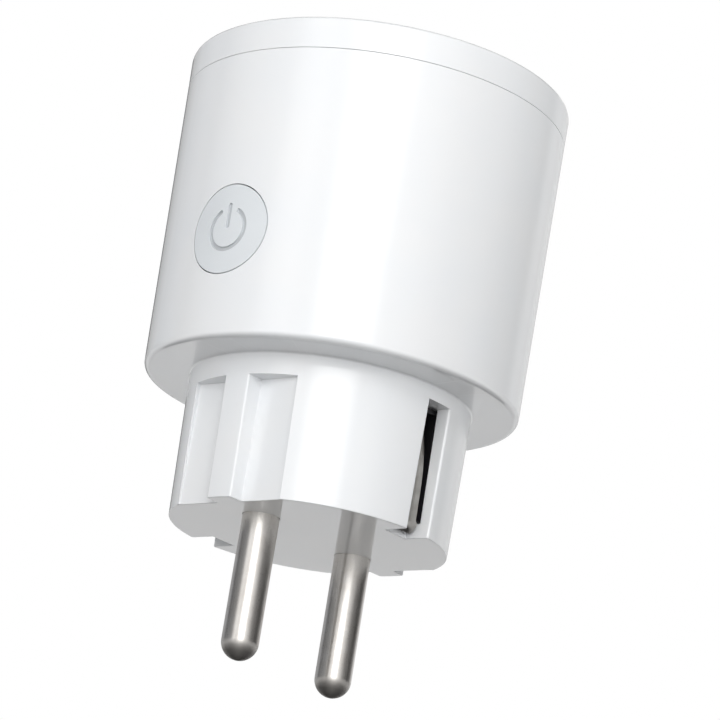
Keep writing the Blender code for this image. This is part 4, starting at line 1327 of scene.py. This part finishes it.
# Studio -------------------------------------------------------------------------------------------
@dataclass(frozen=True)
class SoftPanel:
    """One diffused light of the room: a stretch of its wall or ceiling with faded ends."""

    name: str
    azimuth: float  # where its middle stands: 0 is +X and 90 is +Y
    half_width: float  # from its middle to the middle of its fade
    fade: float
    strength: float
    low: float = -10.0  # its lower edge above the horizon
    high: float = 30.0  # its upper edge
    tint: str = "#FFFFFF"

    def glow(
        self, tree: bpy.types.NodeTree, level: bpy.types.NodeSocket, height: bpy.types.NodeSocket
    ) -> bpy.types.NodeSocket:
        """Adds the nodes that say how brightly each direction of the room shines.

        Args:
            tree: the world's node tree.
            level: the direction, flattened to the horizon and of length 1.
            height: the sine of the direction's elevation.

        Returns:
            The panel's light as a colour vector.
        """
        azimuth = math.radians(self.azimuth)
        middle = (math.cos(azimuth), math.sin(azimuth), 0.0)
        toward = add_node(tree, "VectorMath", {"operation": "DOT_PRODUCT", 1: middle}, {0: level})
        across = self.window(
            tree,
            toward.outputs["Value"],
            math.cos(math.radians(min(self.half_width + self.fade / 2, 180.0))),
            math.cos(math.radians(max(self.half_width - self.fade / 2, 0.0))),
        )
        low, high = self.low, self.high
        soft = 1.5  # half the fade of its upper and lower edges
        sines = [math.sin(math.radians(a)) for a in (low - soft, low + soft, high + soft, high - soft)]
        above = self.window(tree, height, sines[0], sines[1])
        below = self.window(tree, height, sines[2], sines[3])
        band = add_node(tree, "Math", {"operation": "MULTIPLY"}, {0: above, 1: below})
        lit = add_node(tree, "Math", {"operation": "MULTIPLY"}, {0: band.outputs["Value"], 1: across})
        light = tuple(channel * self.strength for channel in srgb(self.tint)[:3])
        scaled = add_node(
            tree, "VectorMath", {"operation": "SCALE", 0: light}, {"Scale": lit.outputs["Value"]}
        )
        return scaled.outputs["Vector"]

    def window(
        self, tree: bpy.types.NodeTree, value: bpy.types.NodeSocket, dark: float, bright: float
    ) -> bpy.types.NodeSocket:
        """Fades a value smoothly from 0 to 1.

        Args:
            tree: the world's node tree.
            value: the socket with the value.
            dark: where it gives 0.
            bright: where it gives 1.

        Returns:
            The faded value.
        """
        faded = add_node(
            tree,
            "MapRange",
            {"interpolation_type": "SMOOTHSTEP", "From Min": dark, "From Max": bright},
            {"Value": value},
        )
        return faded.outputs["Result"]


@dataclass
class Studio:
    """A pale floor, the room's soft panels and the camera."""

    camera_place: Vector = field(default_factory=lambda: Vector((0.28158, -0.32368, -0.10423)))
    camera_aim: Vector = field(default_factory=lambda: Vector((6.64, -3.12, 22.76)) * MM)
    camera_roll: float = 9.22
    lens_mm: float = 170.94
    sensor_mm: float = 36.0
    floor_z: float = -0.17
    floor_half: float = 4.0
    flag_radius: float = 0.38
    panels: tuple[SoftPanel, ...] = (
        SoftPanel("key_core", -48.0, 11.0, 24.0, 2.93),
        SoftPanel("key_window", -50.0, 31.0, 62.0, 1.13),
        SoftPanel("low_window", -50.0, 48.0, 75.0, 0.91, high=9.0),
        SoftPanel("key_side_strip", -92.0, 6.0, 16.0, 0.68),
        SoftPanel("left_wall", -130.0, 17.0, 47.0, 0.22, tint="#F4F8FF"),
        SoftPanel("left_rear_strip", -179.0, 10.0, 20.0, 0.5, tint="#F4F8FF"),
        SoftPanel("rear_strip", 157.0, 9.0, 16.0, 0.42),
        SoftPanel("right_rear_card", 104.0, 16.0, 28.0, 0.87),
        SoftPanel("right_card", 76.0, 12.0, 18.0, 0.21),
        SoftPanel("right_wall", 22.0, 17.0, 10.0, 0.06),
        SoftPanel("overhead", -48.0, 75.0, 100.0, 0.73, low=30.0, high=60.0),
    )

    def add_camera(self) -> None:
        """Puts the camera low in front of the key's side, looking up, tilted to the left."""
        data = bpy.data.cameras.new("camera")
        data.lens = self.lens_mm
        data.sensor_width = self.sensor_mm
        data.clip_start, data.clip_end = 0.01, 20.0
        camera = bpy.data.objects.new("camera", data)
        bpy.context.scene.collection.objects.link(camera)
        camera.location = self.camera_place
        view = (self.camera_aim - self.camera_place).to_track_quat("-Z", "Y")
        roll = Quaternion((0, 0, 1), math.radians(self.camera_roll))
        camera.rotation_mode = "QUATERNION"
        camera.rotation_quaternion = view @ roll
        bpy.context.scene.camera = camera

    def add_floor(self) -> None:
        """Lays the plain pale floor below the camera."""
        shape = bmesh.new()
        half, z = self.floor_half, self.floor_z
        corners = ((-half, -half), (half, -half), (half, half), (-half, half))
        shape.faces.new([shape.verts.new((x, y, z)) for x, y in corners])
        floor = object_from("floor", shape)
        wear(floor, BACKLIT_FLOOR)
        floor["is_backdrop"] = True

    def add_flag(self) -> None:
        """Lays a dark flag on the floor below the object, which darkens what its underside reflects."""
        low = Vector((0.0, 0.0, self.floor_z + 1 * MM))
        high = Vector((0.0, 0.0, self.floor_z + 2 * MM))
        flag = rod("flag", self.flag_radius, low, high, 96)
        wear(flag, BLACK_FELT)
        flag.visible_camera = False
        flag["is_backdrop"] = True

    def add_world(self) -> None:
        """Makes the room: plain white to look at, and its panels as the light."""
        scene = bpy.context.scene
        scene.world = bpy.data.worlds.new("studio")
        scene.world.use_nodes = True
        tree = scene.world.node_tree
        tree.nodes.clear()
        direction = add_node(tree, "TexCoord").outputs["Generated"]
        flat = add_node(
            tree, "VectorMath", {"operation": "MULTIPLY", 1: (1.0, 1.0, 0.0)}, {0: direction}
        )
        level = add_node(tree, "VectorMath", {"operation": "NORMALIZE"}, {0: flat.outputs["Vector"]})
        height = add_node(tree, "SeparateXYZ", links={"Vector": direction}).outputs["Z"]
        total = None
        for panel in self.panels:
            glow = panel.glow(tree, level.outputs["Vector"], height)
            if total is None:
                total = glow
            else:
                step = add_node(tree, "VectorMath", {"operation": "ADD"}, {0: total, 1: glow})
                total = step.outputs["Vector"]
        room = add_node(tree, "Background", {"Strength": 1.0}, {"Color": total})
        seen = add_node(tree, "Background", {"Color": srgb("#FFFFFF"), "Strength": 1.0})
        ray = add_node(tree, "LightPath")
        mix = add_node(
            tree,
            "MixShader",
            links={
                "Fac": ray.outputs["Is Camera Ray"],
                1: room.outputs["Background"],
                2: seen.outputs["Background"],
            },
        )
        add_node(tree, "OutputWorld", links={"Surface": mix.outputs["Shader"]})
        scene.view_settings.view_transform = "Standard"

    def build(self) -> None:
        """Sets up everything round the object."""
        self.add_camera()
        self.add_floor()
        self.add_flag()
        self.add_world()
        log.info("studio: floor, %d soft panels and camera", len(self.panels))


def main() -> None:
    """Builds and dresses every sub-assembly, then the studio."""
    at = Datums.read()
    shell = HousingShell(at)
    shell.dress(shell.build())
    cover = FrontCover(at)
    cover.dress(cover.build())
    key = PowerKey(at)
    key.dress(key.build(), key.build_inlay())
    replaced = {"main_housing", "front_cover", "power_button", "shutter"}
    pins = PlugPins()
    for name, node in (("plug_pin_line", "line_pin"), ("plug_pin_neutral", "neutral_pin")):
        pins.dress(pins.build(name, node), node)
        replaced.add(node)
    earth = EarthContacts()
    for label, side in (("left", -1), ("right", 1)):
        for kind, make in (("blade", earth.blade), ("clip", earth.clip)):
            node = f"earth_{kind}_{label}"
            earth.dress(make(f"earth_spring_{kind}_{label}", side), node)
            replaced.add(node)
    shutter = SafetyShutter(at)
    shutter.dress(shutter.build())
    InnerParts(replaced).dress()
    Studio().build()


if __name__ == "__main__":
    main()
